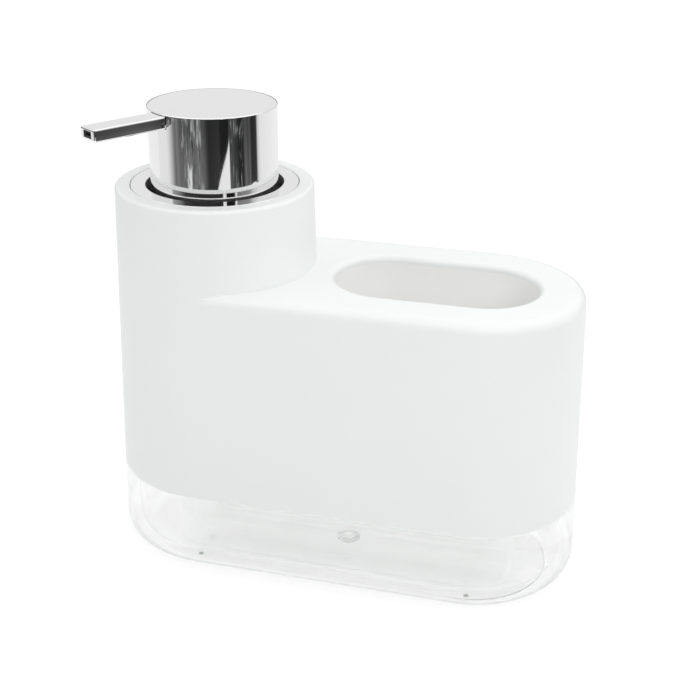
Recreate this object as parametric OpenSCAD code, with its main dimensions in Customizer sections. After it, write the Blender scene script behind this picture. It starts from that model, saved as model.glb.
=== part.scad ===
// Soap pump caddy: a white sleeve with a pump tower and a sponge opening, on a clear base.
// Millimetres. The origin is on the underside, midway between the two round ends.
// +X points from the pump to the sponge opening, -Y to the front and +Z up.

/* [Body] */
// Distance between the centres of the two round ends
end_spacing = 85.3; // [82:0.1:95]
// Radius that the tapered side walls reach at floor level
foot_r = 34.3; // [33.8:0.1:36]
// Outer radius of the tower at its top
tower_r = 31; // [30.5:0.1:33]
// Height of the tower
tower_h = 123; // [118:0.5:135]
// Height of the deck that the sponge opening is in
deck_h = 97.2; // [90:0.1:102]
// Wall thickness of the white sleeve
sleeve_wall = 2.4; // [2:0.1:3]
// Rounding of the deck's outer edge
deck_edge_r = 3.4; // [2.6:0.1:4.5]
// Rounding of the tower's top edge
rim_edge_r = 1.2; // [0.6:0.1:2]

/* [Clear base] */
// Height of the clear band that shows below the sleeve
band_h = 28; // [22:0.5:32]
// Rounding between the base's walls and its underside
base_edge_r = 8.5; // [6:0.1:9]
// Rounding inside the base, between its walls and its floor
base_inner_r = 6; // [3:0.1:7]
// Thickness of the base's floor
base_floor_t = 3; // [2:0.1:4]
// Wall thickness of the spigot that reaches up inside the sleeve
spigot_wall = 1.8; // [1.6:0.1:2.4]
// How far the spigot reaches up inside the sleeve
lap_h = 12; // [8:0.5:16]
// Depth of the groove for the seal
seal_t = 0.9; // [0.6:0.1:1.1]
// Height of the seal
seal_h = 2.4; // [1.6:0.1:3.6]
// Radius of the moulding gate's dimple in the underside
gate_r = 3.4; // [2:0.1:5]
// Radius of the nib left in the gate's dimple
gate_nib_r = 1.2; // [0.6:0.1:1.6]
// Radius of each ejector mark in the underside
ejector_r = 0.9; // [0.5:0.1:1.5]
// Distance of each ejector mark from the long middle line
ejector_y = 23.6; // [18:0.1:24]
// Depth of the gate's dimple and of the ejector marks
mark_depth = 0.4; // [0.2:0.1:0.8]

/* [Sponge pocket] */
// Distance between the centres of the opening's round ends
opening_spacing = 29.3; // [24:0.1:32]
// Radius of the opening's round ends
opening_r = 17.2; // [15:0.1:18]
// How far the opening's outer end centre stands past the body's
opening_shift = 0.6; // [0:0.1:1.2]
// Rounding of the opening's lip
lip_r = 1.8; // [1:0.1:2]
// Wall thickness of the pocket
pocket_wall = 1.6; // [1.2:0.1:2]
// Width of the pocket's flange, which is bonded under the deck
pocket_flange_w = 2.6; // [1.5:0.1:3.2]
// Height of the pocket's underside above the floor
pocket_low_h = 34; // [30:0.5:60]
// How much narrower the pocket's radius is at its bottom
pocket_draft = 0.8; // [0.4:0.1:1.5]
// Rounding inside the pocket's bottom
pocket_inner_r = 3; // [1:0.1:5]

/* [Pump collar] */
// Outer radius of the chrome flange
flange_r = 26.25; // [25.5:0.05:27]
// Thickness of the chrome flange
flange_t = 1.6; // [1.2:0.1:2.2]
// Inner radius of the well that the head drops into
well_r = 21.45; // [21.2:0.05:21.8]
// Wall thickness of the collar's threaded skirt
collar_wall = 2.2; // [1.8:0.1:2.4]
// Thickness of the well's floor
collar_floor_t = 2; // [1.5:0.1:3]
// Length of the neck inside the tower that the collar screws into
neck_len = 13; // [9:0.5:13.5]
// Wall thickness of the neck
neck_wall = 2.2; // [1.6:0.1:2.6]
// Thickness of the gasket under the flange
gasket_t = 1; // [0.8:0.1:1.6]

/* [Pump head] */
// Radius of the head
head_r = 19.9; // [19:0.1:20.4]
// Height of the head's top above the tower
head_rise = 24.8; // [20:0.1:28]
// Wall thickness of the head's shell
head_wall = 1.5; // [1.2:0.1:2]
// Rounding of the head's edges
head_edge_r = 0.5; // [0.2:0.1:0.9]
// How far the head's skirt hangs below the flange at rest
skirt_dip = 4; // [2:0.5:6]
// How far the head can be pressed down
stroke = 11; // [8:0.5:12]
// Direction of the spout, turned from +X
spout_turn = 236.7; // [180:0.1:300]
// Distance of the spout's tip from the pump's axis
spout_reach = 43.7; // [36:0.1:55]
// Width of the spout
spout_w = 7.5; // [6.5:0.1:9]
// Height of the spout
spout_h = 3.8; // [3.4:0.1:4.2]
// Wall thickness of the spout
spout_wall = 0.6; // [0.5:0.05:0.7]
// How far the spout's top lies below the head's top
spout_drop = 0.6; // [0.4:0.1:0.8]
// Width of the opening in the spout's tip
tip_w = 3.9; // [3:0.1:4.5]
// Height of the opening in the spout's tip
tip_h = 2.1; // [1.8:0.1:2.4]
// Wall thickness of the insert that lines the tip
insert_wall = 0.5; // [0.3:0.05:0.6]
// Length of the insert
insert_len = 14; // [6:0.5:18]
// How far the insert's end lies inside the tip
insert_sink = 0.3; // [0:0.1:1]
// Wall thickness of the socket for the stem in the head's inner body
boss_wall = 2.4; // [1.8:0.1:3]
// Thickness of the head's inner body under the spout
core_wall = 1.2; // [0.8:0.1:2]

/* [Pump mechanism] */
// Outer radius of the stem
stem_r = 4.2; // [3.8:0.1:4.6]
// Radius of the passage through the stem
stem_bore_r = 2.6; // [2.3:0.1:2.8]
// Length of the stem that sits in the head
socket_len = 13; // [10:0.5:13.5]
// Radius of the housing's bore
bore_r = 6; // [5.8:0.1:7]
// Wall thickness of the housing
housing_wall = 1.2; // [1:0.1:1.6]
// Wall thickness of the housing's neck, which passes through the collar
housing_neck_wall = 2.4; // [2:0.1:3]
// Length of the housing's bore
housing_len = 47; // [42:0.5:50]
// Width of the housing's flange under the collar
housing_flange_w = 2.4; // [1.5:0.1:3]
// Thickness of the housing's flange
housing_flange_t = 1.8; // [1.2:0.1:2.4]
// Height of the cap above the well's floor
cap_h = 6; // [5:0.5:8]
// Thickness of the cap's top, which guides the stem
cap_plate_t = 2.4; // [1.6:0.1:3]
// Wall thickness of the cap's skirt
cap_wall = 2; // [1.4:0.1:2.6]
// Height of the seal round the stem
stem_seal_h = 2.4; // [1.5:0.1:3]
// How much wider than the bore the seal's seat is
stem_seal_seat = 0.7; // [0.5:0.1:0.9]
// Height of the piston
piston_h = 6; // [5:0.5:8]
// Height of each of the piston's two lips
piston_lip_h = 1.2; // [0.8:0.1:1.6]
// Depth of the waist between the piston's lips
piston_waist = 0.9; // [0.5:0.1:1.1]
// How far the stem reaches into the piston
stem_seat_len = 3; // [2:0.5:3.5]
// Radius of the foot of the valve rod, which the spring pushes on
rod_foot_r = 5.3; // [4.9:0.1:5.5]
// Thickness of the valve rod's foot
rod_foot_t = 2; // [1.5:0.1:2.5]
// How far the valve rod reaches up inside the stem
rod_grip_len = 8; // [5:0.5:12]
// Radius of the passage through the valve rod's foot
rod_port_r = 1.2; // [0.8:0.1:1.4]
// Mean radius of the return spring
spring_r = 4.7; // [4.4:0.1:4.9]
// Thickness of the spring's wire
wire_d = 0.9; // [0.7:0.05:1]
// Number of turns in the spring
spring_turns = 9; // [6:1:12]
// Radius of the inlet valve's ball
inlet_ball_r = 2.5; // [2.3:0.1:2.8]
// Radius of the inlet valve's seat
inlet_seat_r = 1.8; // [1.6:0.1:1.9]
// Radius of the inlet ball's chamber
inlet_chamber_r = 3.4; // [3.1:0.1:3.6]
// How far the inlet ball can lift
inlet_lift = 1.5; // [1:0.1:2]
// Radius of the passage between the nibs that stop the inlet ball
nib_gap_r = 1.9; // [1.6:0.1:2.1]
// Height and width of each nib
nib_w = 1; // [0.6:0.1:1.4]
// Radius of the outlet valve's ball
outlet_ball_r = 1.9; // [1.8:0.1:2]
// Radius of the outlet valve's seat
outlet_seat_r = 1.4; // [1.2:0.1:1.5]
// How far the outlet ball can lift
outlet_lift = 1; // [0.6:0.1:1.4]
// Width and height of the bar that stops the outlet ball
stop_bar_w = 1; // [0.6:0.1:1.4]
// Slope of both valve seats, from level
seat_slope = 60; // [56:1:66]
// Outer radius of the dip tube
tube_r = 3.5; // [3:0.1:3.6]
// Wall thickness of the dip tube
tube_wall = 0.9; // [0.6:0.05:1]
// Length of the dip tube that sits in the housing
tube_seat_len = 9; // [6:0.5:12]
// Height of the dip tube's mouth above the base's floor
tube_lift = 3; // [2:0.5:8]

/* [Fits] */
// Clearance between pieces that are fixed to each other
fixed_gap = 0.1; // [0.05:0.01:0.15]
// Radial clearance of pieces that turn or slide in each other
run_gap = 0.06; // [0.03:0.01:0.09]
// Clearance that is left where a moving piece stops
stop_gap = 1.2; // [0.8:0.1:1.6]

/* [Hidden] */
$fn = 96;

// Steps in which each rounded edge is drawn
edge_steps = 8;
// How far every cut runs past what it cuts
over = 0.5;
// Turns and quarter turns, in degrees
full_turn = 360;
half_turn = 180;
quarter_turn = 90;

// Slope of the side walls, from upright
taper = atan((foot_r - tower_r) / tower_h);
pump_x = -end_spacing / 2;
opening_x = end_spacing / 2 + opening_shift - opening_spacing / 2;

// Heights in the tower, from its top down
ledge_z = tower_h - flange_t - gasket_t;
plate_z = ledge_z - sleeve_wall;
neck_low_z = ledge_z - neck_len;
skirt_z = tower_h - skirt_dip;
well_floor_z = skirt_z - stroke - stop_gap;
collar_low_z = well_floor_z - collar_floor_t;
cap_top_z = well_floor_z + cap_h;
housing_top_z = cap_top_z - cap_plate_t - fixed_gap;
seal_low_z = housing_top_z - stem_seal_h;
piston_top_z = seal_low_z - fixed_gap;
piston_low_z = piston_top_z - piston_h;
stem_low_z = piston_top_z - stem_seat_len;
foot_top_z = piston_low_z - fixed_gap;
foot_low_z = foot_top_z - rod_foot_t;
spring_seat_z = housing_top_z - housing_len;

// Heights in the head
head_top_z = tower_h + head_rise;
head_plate_z = head_top_z - head_wall;
spout_top_z = head_top_z - spout_drop;
spout_low_z = spout_top_z - spout_h;
boss_low_z = cap_top_z + stroke + stop_gap;
stem_top_z = boss_low_z + socket_len;
core_top_z = head_plate_z - fixed_gap;

// Radii and walls
stem_wall = stem_r - stem_bore_r;
neck_r = well_r + collar_wall + run_gap;
recess_r = flange_r + fixed_gap;
collar_hole_r = bore_r + housing_neck_wall + run_gap;
housing_flange_r = collar_hole_r + housing_flange_w;
cap_bore_r = bore_r + housing_neck_wall + fixed_gap;
head_inner_r = head_r - head_wall;
spring_outer_r = spring_r + wire_d / 2;

// The base's walls lie inside the sleeve's by these distances
spigot_inset = sleeve_wall + fixed_gap;
base_inset = spigot_inset + spigot_wall;
groove_inset = spigot_inset + seal_t;
spigot_top_z = band_h + lap_h;
groove_low_z = band_h + (lap_h - seal_h) / 2;

// Valve seats: each cone widens from the seat to its chamber
inlet_ball_z = spring_seat_z - nib_w - inlet_lift - fixed_gap
    - sqrt(inlet_ball_r * inlet_ball_r - nib_gap_r * nib_gap_r);
inlet_seat_z = inlet_ball_z - ball_rise(inlet_ball_r, inlet_seat_r);
inlet_chamber_z = inlet_seat_z + (inlet_chamber_r - inlet_seat_r) * tan(seat_slope);
outlet_seat_z = stem_top_z - (stem_bore_r - outlet_seat_r) * tan(seat_slope);
outlet_ball_z = outlet_seat_z + ball_rise(outlet_ball_r, outlet_seat_r);
stop_bar_z = outlet_ball_z + outlet_ball_r + outlet_lift + fixed_gap;
tube_top_z = inlet_seat_z - housing_wall;
tube_socket_r = tube_r + fixed_gap;

// The way out of the head: through its inner body, the spout's tongue and the spout
tongue_start = stem_r + boss_wall;
tongue_w = spout_w - 2 * spout_wall;
tongue_top_z = core_top_z - fixed_gap;
channel_w = tongue_w - 2 * spout_wall;
channel_low_z = spout_low_z + spout_wall;
channel_top_z = tongue_top_z - spout_wall;
tip_low_z = spout_low_z + (spout_h - tip_h) / 2;
insert_start = spout_reach - insert_len;

function side_r(z) = foot_r - z * tan(taper);

// Height of a ball's centre above the low edge of its conical seat
function ball_rise(ball_r, seat_r) =
    (ball_r + fixed_gap / 2 - seat_r * sin(seat_slope)) / cos(seat_slope);

// Rounded edge under a level top, on a wall that lies inset from the body's side
function top_edge(z, edge_r, inset = 0) =
    let(mid_z = z - edge_r, mid_r = side_r(mid_z) - inset - edge_r / cos(taper))
    [for (i = [0 : edge_steps]) let(a = taper + (quarter_turn - taper) * i / edge_steps)
        [mid_r + edge_r * cos(a), mid_z + edge_r * sin(a)]];

// Rounded edge above a level bottom, on such a wall
function bottom_edge(z, edge_r, inset = 0) =
    let(mid_z = z + edge_r, mid_r = side_r(mid_z) - inset - edge_r / cos(taper))
    [for (i = [0 : edge_steps]) let(a = (quarter_turn + taper) * i / edge_steps - quarter_turn)
        [mid_r + edge_r * cos(a), mid_z + edge_r * sin(a)]];

function side_point(z, inset = 0) = [side_r(z) - inset, z];

// An outline is a list of [radius, height] from low to high
function half_profile(outline) =
    concat([[0, outline[0][1]]], outline, [[0, outline[len(outline) - 1][1]]]);
function whole_profile(outline) =
    concat(outline, [for (i = [len(outline) - 1 : -1 : 0]) [-outline[i][0], outline[i][1]]]);

module at_pump() {
    translate([pump_x, 0, 0]) children();
}

module round_end(outline, spacing, side) {
    translate([side * spacing / 2, 0, 0]) rotate([0, 0, -side * quarter_turn])
        rotate_extrude(angle = half_turn) polygon(half_profile(outline));
}

module straight_middle(outline, spacing) {
    rotate([quarter_turn, 0, quarter_turn])
        linear_extrude(height = spacing, center = true) polygon(whole_profile(outline));
}

// Long oval solid with two round ends
module long_oval(outline, spacing = end_spacing) {
    for (side = [-1, 1]) round_end(outline, spacing, side);
    straight_middle(outline, spacing);
}

// Oval solid with a round tower at the pump's end
module tower_form(deck_outline, tower_outline) {
    at_pump() rotate_extrude() polygon(half_profile(tower_outline));
    round_end(deck_outline, end_spacing, 1);
    straight_middle(deck_outline, end_spacing);
}

module disc(r, low, high) {
    translate([0, 0, low]) cylinder(r = r, h = high - low);
}

module ring(outer, inner, low, high) {
    difference() {
        disc(outer, low, high);
        disc(inner, low - over, high + over);
    }
}

module cone(low_r, high_r, low, high) {
    translate([0, 0, low]) cylinder(r1 = low_r, r2 = high_r, h = high - low);
}

module sponge_opening() {
    lip_low_z = deck_h - lip_r;
    lip = [for (i = [0 : edge_steps]) let(a = quarter_turn * i / edge_steps)
        [opening_r + lip_r * (1 - cos(a)), lip_low_z + lip_r * sin(a)]];
    translate([opening_x, 0, 0])
        long_oval(concat([[opening_r, deck_h - sleeve_wall - over]], lip,
                         [[opening_r + lip_r, deck_h + over]]), opening_spacing);
}

// White outer shell: side walls, deck and tower, open at the bottom
module body_sleeve() color([0.93, 0.94, 0.94]) {
    difference() {
        union() {
            difference() {
                tower_form(concat([side_point(band_h)], top_edge(deck_h, deck_edge_r)),
                           concat([side_point(band_h)], top_edge(tower_h, rim_edge_r)));
                tower_form([side_point(band_h - over, sleeve_wall),
                            side_point(deck_h - sleeve_wall, sleeve_wall)],
                           [side_point(band_h - over, sleeve_wall), side_point(plate_z, sleeve_wall)]);
                sponge_opening();
            }
            at_pump() disc(neck_r + neck_wall, neck_low_z, ledge_z - over);
        }
        at_pump() disc(neck_r, neck_low_z - over, tower_h + over);
        at_pump() disc(recess_r, ledge_z, tower_h + over);
    }
}

// Clear tub that closes the sleeve at the bottom and holds the soap
module clear_base() color([0.85, 0.9, 0.92, 0.35]) {
    difference() {
        union() {
            long_oval(concat(bottom_edge(0, base_edge_r), [side_point(band_h)]));
            long_oval([side_point(band_h - over, spigot_inset), side_point(spigot_top_z, spigot_inset)]);
        }
        long_oval(concat(bottom_edge(base_floor_t, base_inner_r, base_inset),
                         [side_point(spigot_top_z + over, base_inset)]));
        difference() {
            long_oval([side_point(groove_low_z, 0), side_point(groove_low_z + seal_h, 0)]);
            long_oval([side_point(groove_low_z - over, groove_inset),
                       side_point(groove_low_z + seal_h + over, groove_inset)]);
        }
        ring(gate_r, gate_nib_r, -over, mark_depth);
        disc(gate_nib_r + fixed_gap, -over, mark_depth / 2);
        for (x = [-1, 1], y = [-1, 1])
            translate([x * end_spacing / 2, y * ejector_y, 0]) disc(ejector_r, -over, mark_depth);
    }
}

// Rubber ring in the spigot's groove
module base_seal() color([0.35, 0.36, 0.37]) {
    low = groove_low_z + fixed_gap;
    high = groove_low_z + seal_h - fixed_gap;
    difference() {
        long_oval([side_point(low, sleeve_wall), side_point(high, sleeve_wall)]);
        long_oval([side_point(low - over, groove_inset), side_point(high + over, groove_inset)]);
    }
}

// White cup under the deck's opening, closed at the bottom
module sponge_pocket() color([0.88, 0.89, 0.88]) {
    top_z = deck_h - sleeve_wall;
    low_r = opening_r - pocket_draft;
    floor_z = pocket_low_h + pocket_wall;
    bottom = [for (i = [0 : edge_steps]) let(a = quarter_turn * (i / edge_steps - 1))
        [low_r - pocket_inner_r + pocket_inner_r * cos(a), floor_z + pocket_inner_r * (1 + sin(a))]];
    translate([opening_x, 0, 0]) difference() {
        union() {
            long_oval([[low_r + pocket_wall - pocket_inner_r, pocket_low_h],
                       [low_r + pocket_wall, pocket_low_h + pocket_inner_r],
                       [opening_r + pocket_wall, top_z]], opening_spacing);
            long_oval([[opening_r + pocket_wall + pocket_flange_w, top_z - pocket_wall],
                       [opening_r + pocket_wall + pocket_flange_w, top_z]], opening_spacing);
        }
        long_oval(concat(bottom, [[opening_r, top_z], [opening_r, top_z + over]]), opening_spacing);
    }
}

// Rubber ring between the flange and the tower's ledge
module neck_gasket() color([0.2, 0.2, 0.21]) {
    at_pump() ring(flange_r - fixed_gap, neck_r + fixed_gap, ledge_z, tower_h - flange_t);
}

// Chrome collar: a flange flush with the tower's rim and a well that screws into the neck
module pump_collar() color([0.8, 0.81, 0.83]) {
    at_pump() difference() {
        union() {
            disc(flange_r, tower_h - flange_t, tower_h);
            disc(well_r + collar_wall, collar_low_z, tower_h - flange_t + over);
        }
        disc(well_r, well_floor_z, tower_h + over);
        disc(collar_hole_r, collar_low_z - over, tower_h);
    }
}

// Pump housing: the piston's bore, the inlet valve's seat and the dip tube's socket
module pump_housing() color([0.9, 0.91, 0.9]) {
    flange_top_z = collar_low_z - fixed_gap;
    at_pump() {
        difference() {
            union() {
                disc(bore_r + housing_neck_wall, flange_top_z - over, housing_top_z);
                disc(housing_flange_r, flange_top_z - housing_flange_t, flange_top_z);
                disc(bore_r + housing_wall, inlet_chamber_z - over, flange_top_z - over);
                disc(tube_socket_r + housing_wall, tube_top_z - tube_seat_len, inlet_chamber_z);
            }
            disc(bore_r, spring_seat_z, housing_top_z + over);
            disc(bore_r + stem_seal_seat, seal_low_z, housing_top_z + over);
            disc(inlet_chamber_r, inlet_chamber_z, spring_seat_z + over);
            cone(inlet_seat_r, inlet_chamber_r, inlet_seat_z, inlet_chamber_z);
            disc(inlet_seat_r, tube_top_z - over, inlet_seat_z + fixed_gap);
            disc(tube_socket_r, tube_top_z - tube_seat_len - over, tube_top_z);
        }
        for (turn = [0 : quarter_turn : full_turn - quarter_turn]) rotate([0, 0, turn])
            translate([nib_gap_r, -nib_w / 2, spring_seat_z - nib_w])
                cube([inlet_chamber_r - nib_gap_r + over, nib_w, nib_w]);
    }
}

// Snap-on cap that holds the housing in the collar and guides the stem
module housing_cap() color([0.95, 0.95, 0.95]) {
    at_pump() difference() {
        disc(cap_bore_r + cap_wall, well_floor_z + fixed_gap, cap_top_z);
        disc(cap_bore_r, well_floor_z - over, housing_top_z + fixed_gap);
        disc(stem_r + run_gap, well_floor_z, cap_top_z + over);
    }
}

// Wiper ring round the stem, under the cap
module stem_seal() color([0.25, 0.25, 0.26]) {
    at_pump() ring(bore_r + stem_seal_seat - fixed_gap, stem_r + run_gap, seal_low_z, housing_top_z);
}

module inlet_ball() color([0.7, 0.71, 0.73]) {
    at_pump() translate([0, 0, inlet_ball_z]) sphere(r = inlet_ball_r);
}

module dip_tube() color([0.9, 0.92, 0.92]) {
    at_pump() ring(tube_r, tube_r - tube_wall, base_floor_t + tube_lift, tube_top_z - fixed_gap);
}

// Helix of round wire from the housing's seat to the valve rod's foot
wire_sides = 6;
turn_rings = 16;
spring_rings = spring_turns * turn_rings;
spring_low_z = spring_seat_z + wire_d / 2 + fixed_gap;
spring_high_z = foot_low_z - wire_d / 2 - fixed_gap;
spring_pitch = (spring_high_z - spring_low_z) / spring_turns;
echo(least_gap_between_turns = spring_pitch - wire_d);

function wire_point(i, k) =
    let(turn = full_turn * i / turn_rings,
        around = full_turn * k / wire_sides,
        r = spring_r + wire_d / 2 * cos(around))
    [r * cos(turn), r * sin(turn),
     spring_low_z + spring_pitch * i / turn_rings + wire_d / 2 * sin(around)];

module return_spring() color([0.6, 0.62, 0.64]) {
    points = [for (i = [0 : spring_rings], k = [0 : wire_sides - 1]) wire_point(i, k)];
    sides = [for (i = [0 : spring_rings - 1], k = [0 : wire_sides - 1], half = [0, 1])
        let(a = i * wire_sides + k, b = i * wire_sides + (k + 1) % wire_sides)
        half == 0 ? [a, b, b + wire_sides] : [a, b + wire_sides, a + wire_sides]];
    last = spring_rings * wire_sides;
    ends = [[for (k = [wire_sides - 1 : -1 : 0]) k], [for (k = [0 : wire_sides - 1]) last + k]];
    at_pump() polyhedron(points = points, faces = concat(sides, ends));
}

// Hollow stem with the outlet valve's seat in its top
module stem() color([0.93, 0.94, 0.94]) {
    at_pump() difference() {
        disc(stem_r, stem_low_z, stem_top_z);
        disc(stem_bore_r, stem_low_z - over, outlet_seat_z - stem_wall);
        disc(outlet_seat_r, stem_low_z, outlet_seat_z + fixed_gap);
        cone(outlet_seat_r, stem_bore_r, outlet_seat_z, stem_top_z);
        disc(stem_bore_r, stem_top_z, stem_top_z + over);
    }
}

// Piston with two lips that slide in the housing's bore
module piston() color([0.88, 0.9, 0.93]) {
    lip_r = bore_r - run_gap;
    at_pump() difference() {
        disc(lip_r, piston_low_z, piston_top_z);
        ring(lip_r + over, lip_r - piston_waist, piston_low_z + piston_lip_h,
             piston_top_z - piston_lip_h);
        disc(stem_r + run_gap, stem_low_z, piston_top_z + over);
        disc(stem_bore_r, piston_low_z - over, piston_top_z);
    }
}

// Rod that ties the piston to the stem and carries the spring
module valve_rod() color([0.94, 0.94, 0.95]) {
    rod_r = stem_bore_r - fixed_gap;
    rod_top_z = stem_low_z + rod_grip_len;
    // Two flats, so that the rod slides into the stem without trapping air
    flats_w = rod_r * sqrt(2);
    at_pump() difference() {
        union() {
            disc(rod_foot_r, foot_low_z, foot_top_z);
            intersection() {
                disc(rod_r, foot_low_z, rod_top_z);
                translate([-rod_r, -flats_w / 2, foot_low_z])
                    cube([2 * rod_r, flats_w, rod_top_z - foot_low_z]);
            }
        }
        disc(rod_port_r, foot_low_z - over, rod_top_z + over);
    }
}

module outlet_ball() color([0.7, 0.71, 0.73]) {
    at_pump() translate([0, 0, outlet_ball_z]) sphere(r = outlet_ball_r);
}

// Bar along the spout's direction, from one distance and height to another
module along_spout(from, to, width, low, high) {
    rotate([0, 0, spout_turn]) translate([from, -width / 2, low])
        cube([to - from, width, high - low]);
}

// Inner body of the head: the stem's socket, the outlet valve's chamber and the way to the spout
module head_core() color([0.9, 0.91, 0.91]) {
    chamber_r = stem_bore_r + fixed_gap;
    web_low_z = spout_low_z - core_wall;
    at_pump() {
        difference() {
            union() {
                disc(stem_r + boss_wall, boss_low_z, web_low_z + over);
                disc(head_inner_r - fixed_gap, web_low_z, core_top_z);
            }
            disc(stem_r + run_gap, boss_low_z - over, stem_top_z + fixed_gap);
            disc(chamber_r, stem_top_z, channel_top_z);
            along_spout(0, tongue_start + over, channel_w, channel_low_z, channel_top_z);
            along_spout(tongue_start, head_r, tongue_w + 2 * fixed_gap, spout_low_z - fixed_gap,
                        core_top_z + over);
        }
        translate([-chamber_r - over, -stop_bar_w / 2, stop_bar_z])
            cube([2 * (chamber_r + over), stop_bar_w, stop_bar_w]);
    }
}

// Chrome cap-shaped shell of the head
module head_shell() color([0.8, 0.81, 0.83]) {
    corner = [for (i = [0 : edge_steps]) let(a = quarter_turn * i / edge_steps)
        [head_r - head_edge_r * (1 - cos(a)), head_top_z - head_edge_r * (1 - sin(a))]];
    at_pump() difference() {
        rotate_extrude() polygon(half_profile(concat(
            [[head_r - head_edge_r, skirt_z], [head_r, skirt_z + head_edge_r]], corner)));
        disc(head_inner_r, skirt_z - over, head_plate_z);
        along_spout(head_inner_r - over, spout_reach, spout_w + 2 * fixed_gap,
                    spout_low_z - fixed_gap, spout_top_z + fixed_gap);
    }
}

// Square chrome spout with a tongue that plugs into the head's inner body
module spout() color([0.8, 0.81, 0.83]) {
    at_pump() difference() {
        union() {
            along_spout(head_inner_r + fixed_gap, spout_reach, spout_w, spout_low_z, spout_top_z);
            along_spout(tongue_start + fixed_gap, head_inner_r + over, tongue_w, spout_low_z, tongue_top_z);
        }
        along_spout(tongue_start - over, insert_start, channel_w, channel_low_z, channel_top_z);
        along_spout(insert_start - over, spout_reach + over, tip_w, tip_low_z, tip_low_z + tip_h);
    }
}

// Dark insert that lines the opening in the spout's tip
module spout_insert() color([0.12, 0.12, 0.13]) {
    width = tip_w - 2 * fixed_gap;
    low = tip_low_z + fixed_gap;
    high = tip_low_z + tip_h - fixed_gap;
    at_pump() difference() {
        along_spout(insert_start, spout_reach - insert_sink, width, low, high);
        along_spout(insert_start - over, spout_reach + over, width - 2 * insert_wall,
                    low + insert_wall, high - insert_wall);
    }
}

body_sleeve();
clear_base();
base_seal();
sponge_pocket();
neck_gasket();
pump_collar();
pump_housing();
housing_cap();
stem_seal();
inlet_ball();
dip_tube();
return_spring();
stem();
piston();
valve_rod();
outlet_ball();
head_core();
head_shell();
spout();
spout_insert();
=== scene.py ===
"""Looks of the soap pump caddy, built around its packed construction model.

Lengths are in millimetres until a mesh is made, and the origin is on the underside, midway between
the two round ends. +X points from the pump to the sponge opening, -Y to the front and +Z up.
"""
import sys
import logging
import math
from collections.abc import Callable, Iterable, Mapping, Sequence
from dataclasses import dataclass, field
from enum import Enum
from typing import Any

import bmesh
import bpy
from mathutils import Matrix, Vector
from mathutils.geometry import tessellate_polygon


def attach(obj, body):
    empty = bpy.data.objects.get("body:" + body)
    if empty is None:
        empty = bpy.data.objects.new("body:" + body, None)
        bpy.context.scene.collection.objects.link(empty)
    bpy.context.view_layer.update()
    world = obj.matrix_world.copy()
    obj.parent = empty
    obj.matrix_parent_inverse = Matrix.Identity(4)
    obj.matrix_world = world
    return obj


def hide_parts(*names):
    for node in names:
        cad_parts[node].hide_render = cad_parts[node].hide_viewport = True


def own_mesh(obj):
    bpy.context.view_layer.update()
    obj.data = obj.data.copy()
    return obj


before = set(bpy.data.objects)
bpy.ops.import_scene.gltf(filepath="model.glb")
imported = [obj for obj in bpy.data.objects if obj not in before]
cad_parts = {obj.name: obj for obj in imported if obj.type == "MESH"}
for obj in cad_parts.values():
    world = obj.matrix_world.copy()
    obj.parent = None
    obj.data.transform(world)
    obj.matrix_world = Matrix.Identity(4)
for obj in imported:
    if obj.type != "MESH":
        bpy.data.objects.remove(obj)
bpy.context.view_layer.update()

Point = tuple[float, float, float]
Flat = tuple[float, float]
Colour = tuple[float, float, float]
Turned = Callable[[float], float]  # Gives the radius for an angle in degrees
Radius = float | Turned

MM = 0.001
QUARTER, HALF, FULL = 90.0, 180.0, 360.0
TINY = 1e-6
END_X = 42.65  # Distance of each round end's centre from the middle; the pump is at -END_X
SHARP, BAR_SHARP = 32.0, 40.0  # Edges that turn by more degrees stay sharp
WELD = 0.002  # Points that are closer, in millimetres, are merged
SLIVER = 0.0005  # Edges that are shorter are dissolved
BY_AREA = 100  # Weight at which the large faces set the normals
MIX_FIRST, MIX_SECOND, MIX_RESULT = 6, 7, 2  # Sockets of a Mix node that mixes colours

log = logging.getLogger("soap_pump_caddy")


class Slot(Enum):
    """Material slots of the record."""

    WHITE = "white_plastic"
    CLEAR = "clear_plastic"
    CHROME = "chrome"
    NATURAL = "natural_plastic"
    DARK = "dark_plastic"
    RUBBER = "seal_rubber"
    STEEL = "spring_steel"


class Group(Enum):
    """Bodies that pieces ride on."""

    CADDY = "caddy"
    PUMP_UNIT = "pump_unit"
    COLLAR = "collar"
    HEAD = "head"


@dataclass(frozen=True)
class MouldMarks:
    """Places of the gate's mark and the ejector marks on the tub's underside."""

    middle_x: float = 1.4
    ejector_x: float = 44.8
    ejector_y: float = 23.6
    ejector_r: float = 0.9


def grey(level: float) -> Colour:
    """A colour without a hue."""
    return (level, level, level)


# ---------------------------------------------------------------------------------- shader trees


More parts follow.
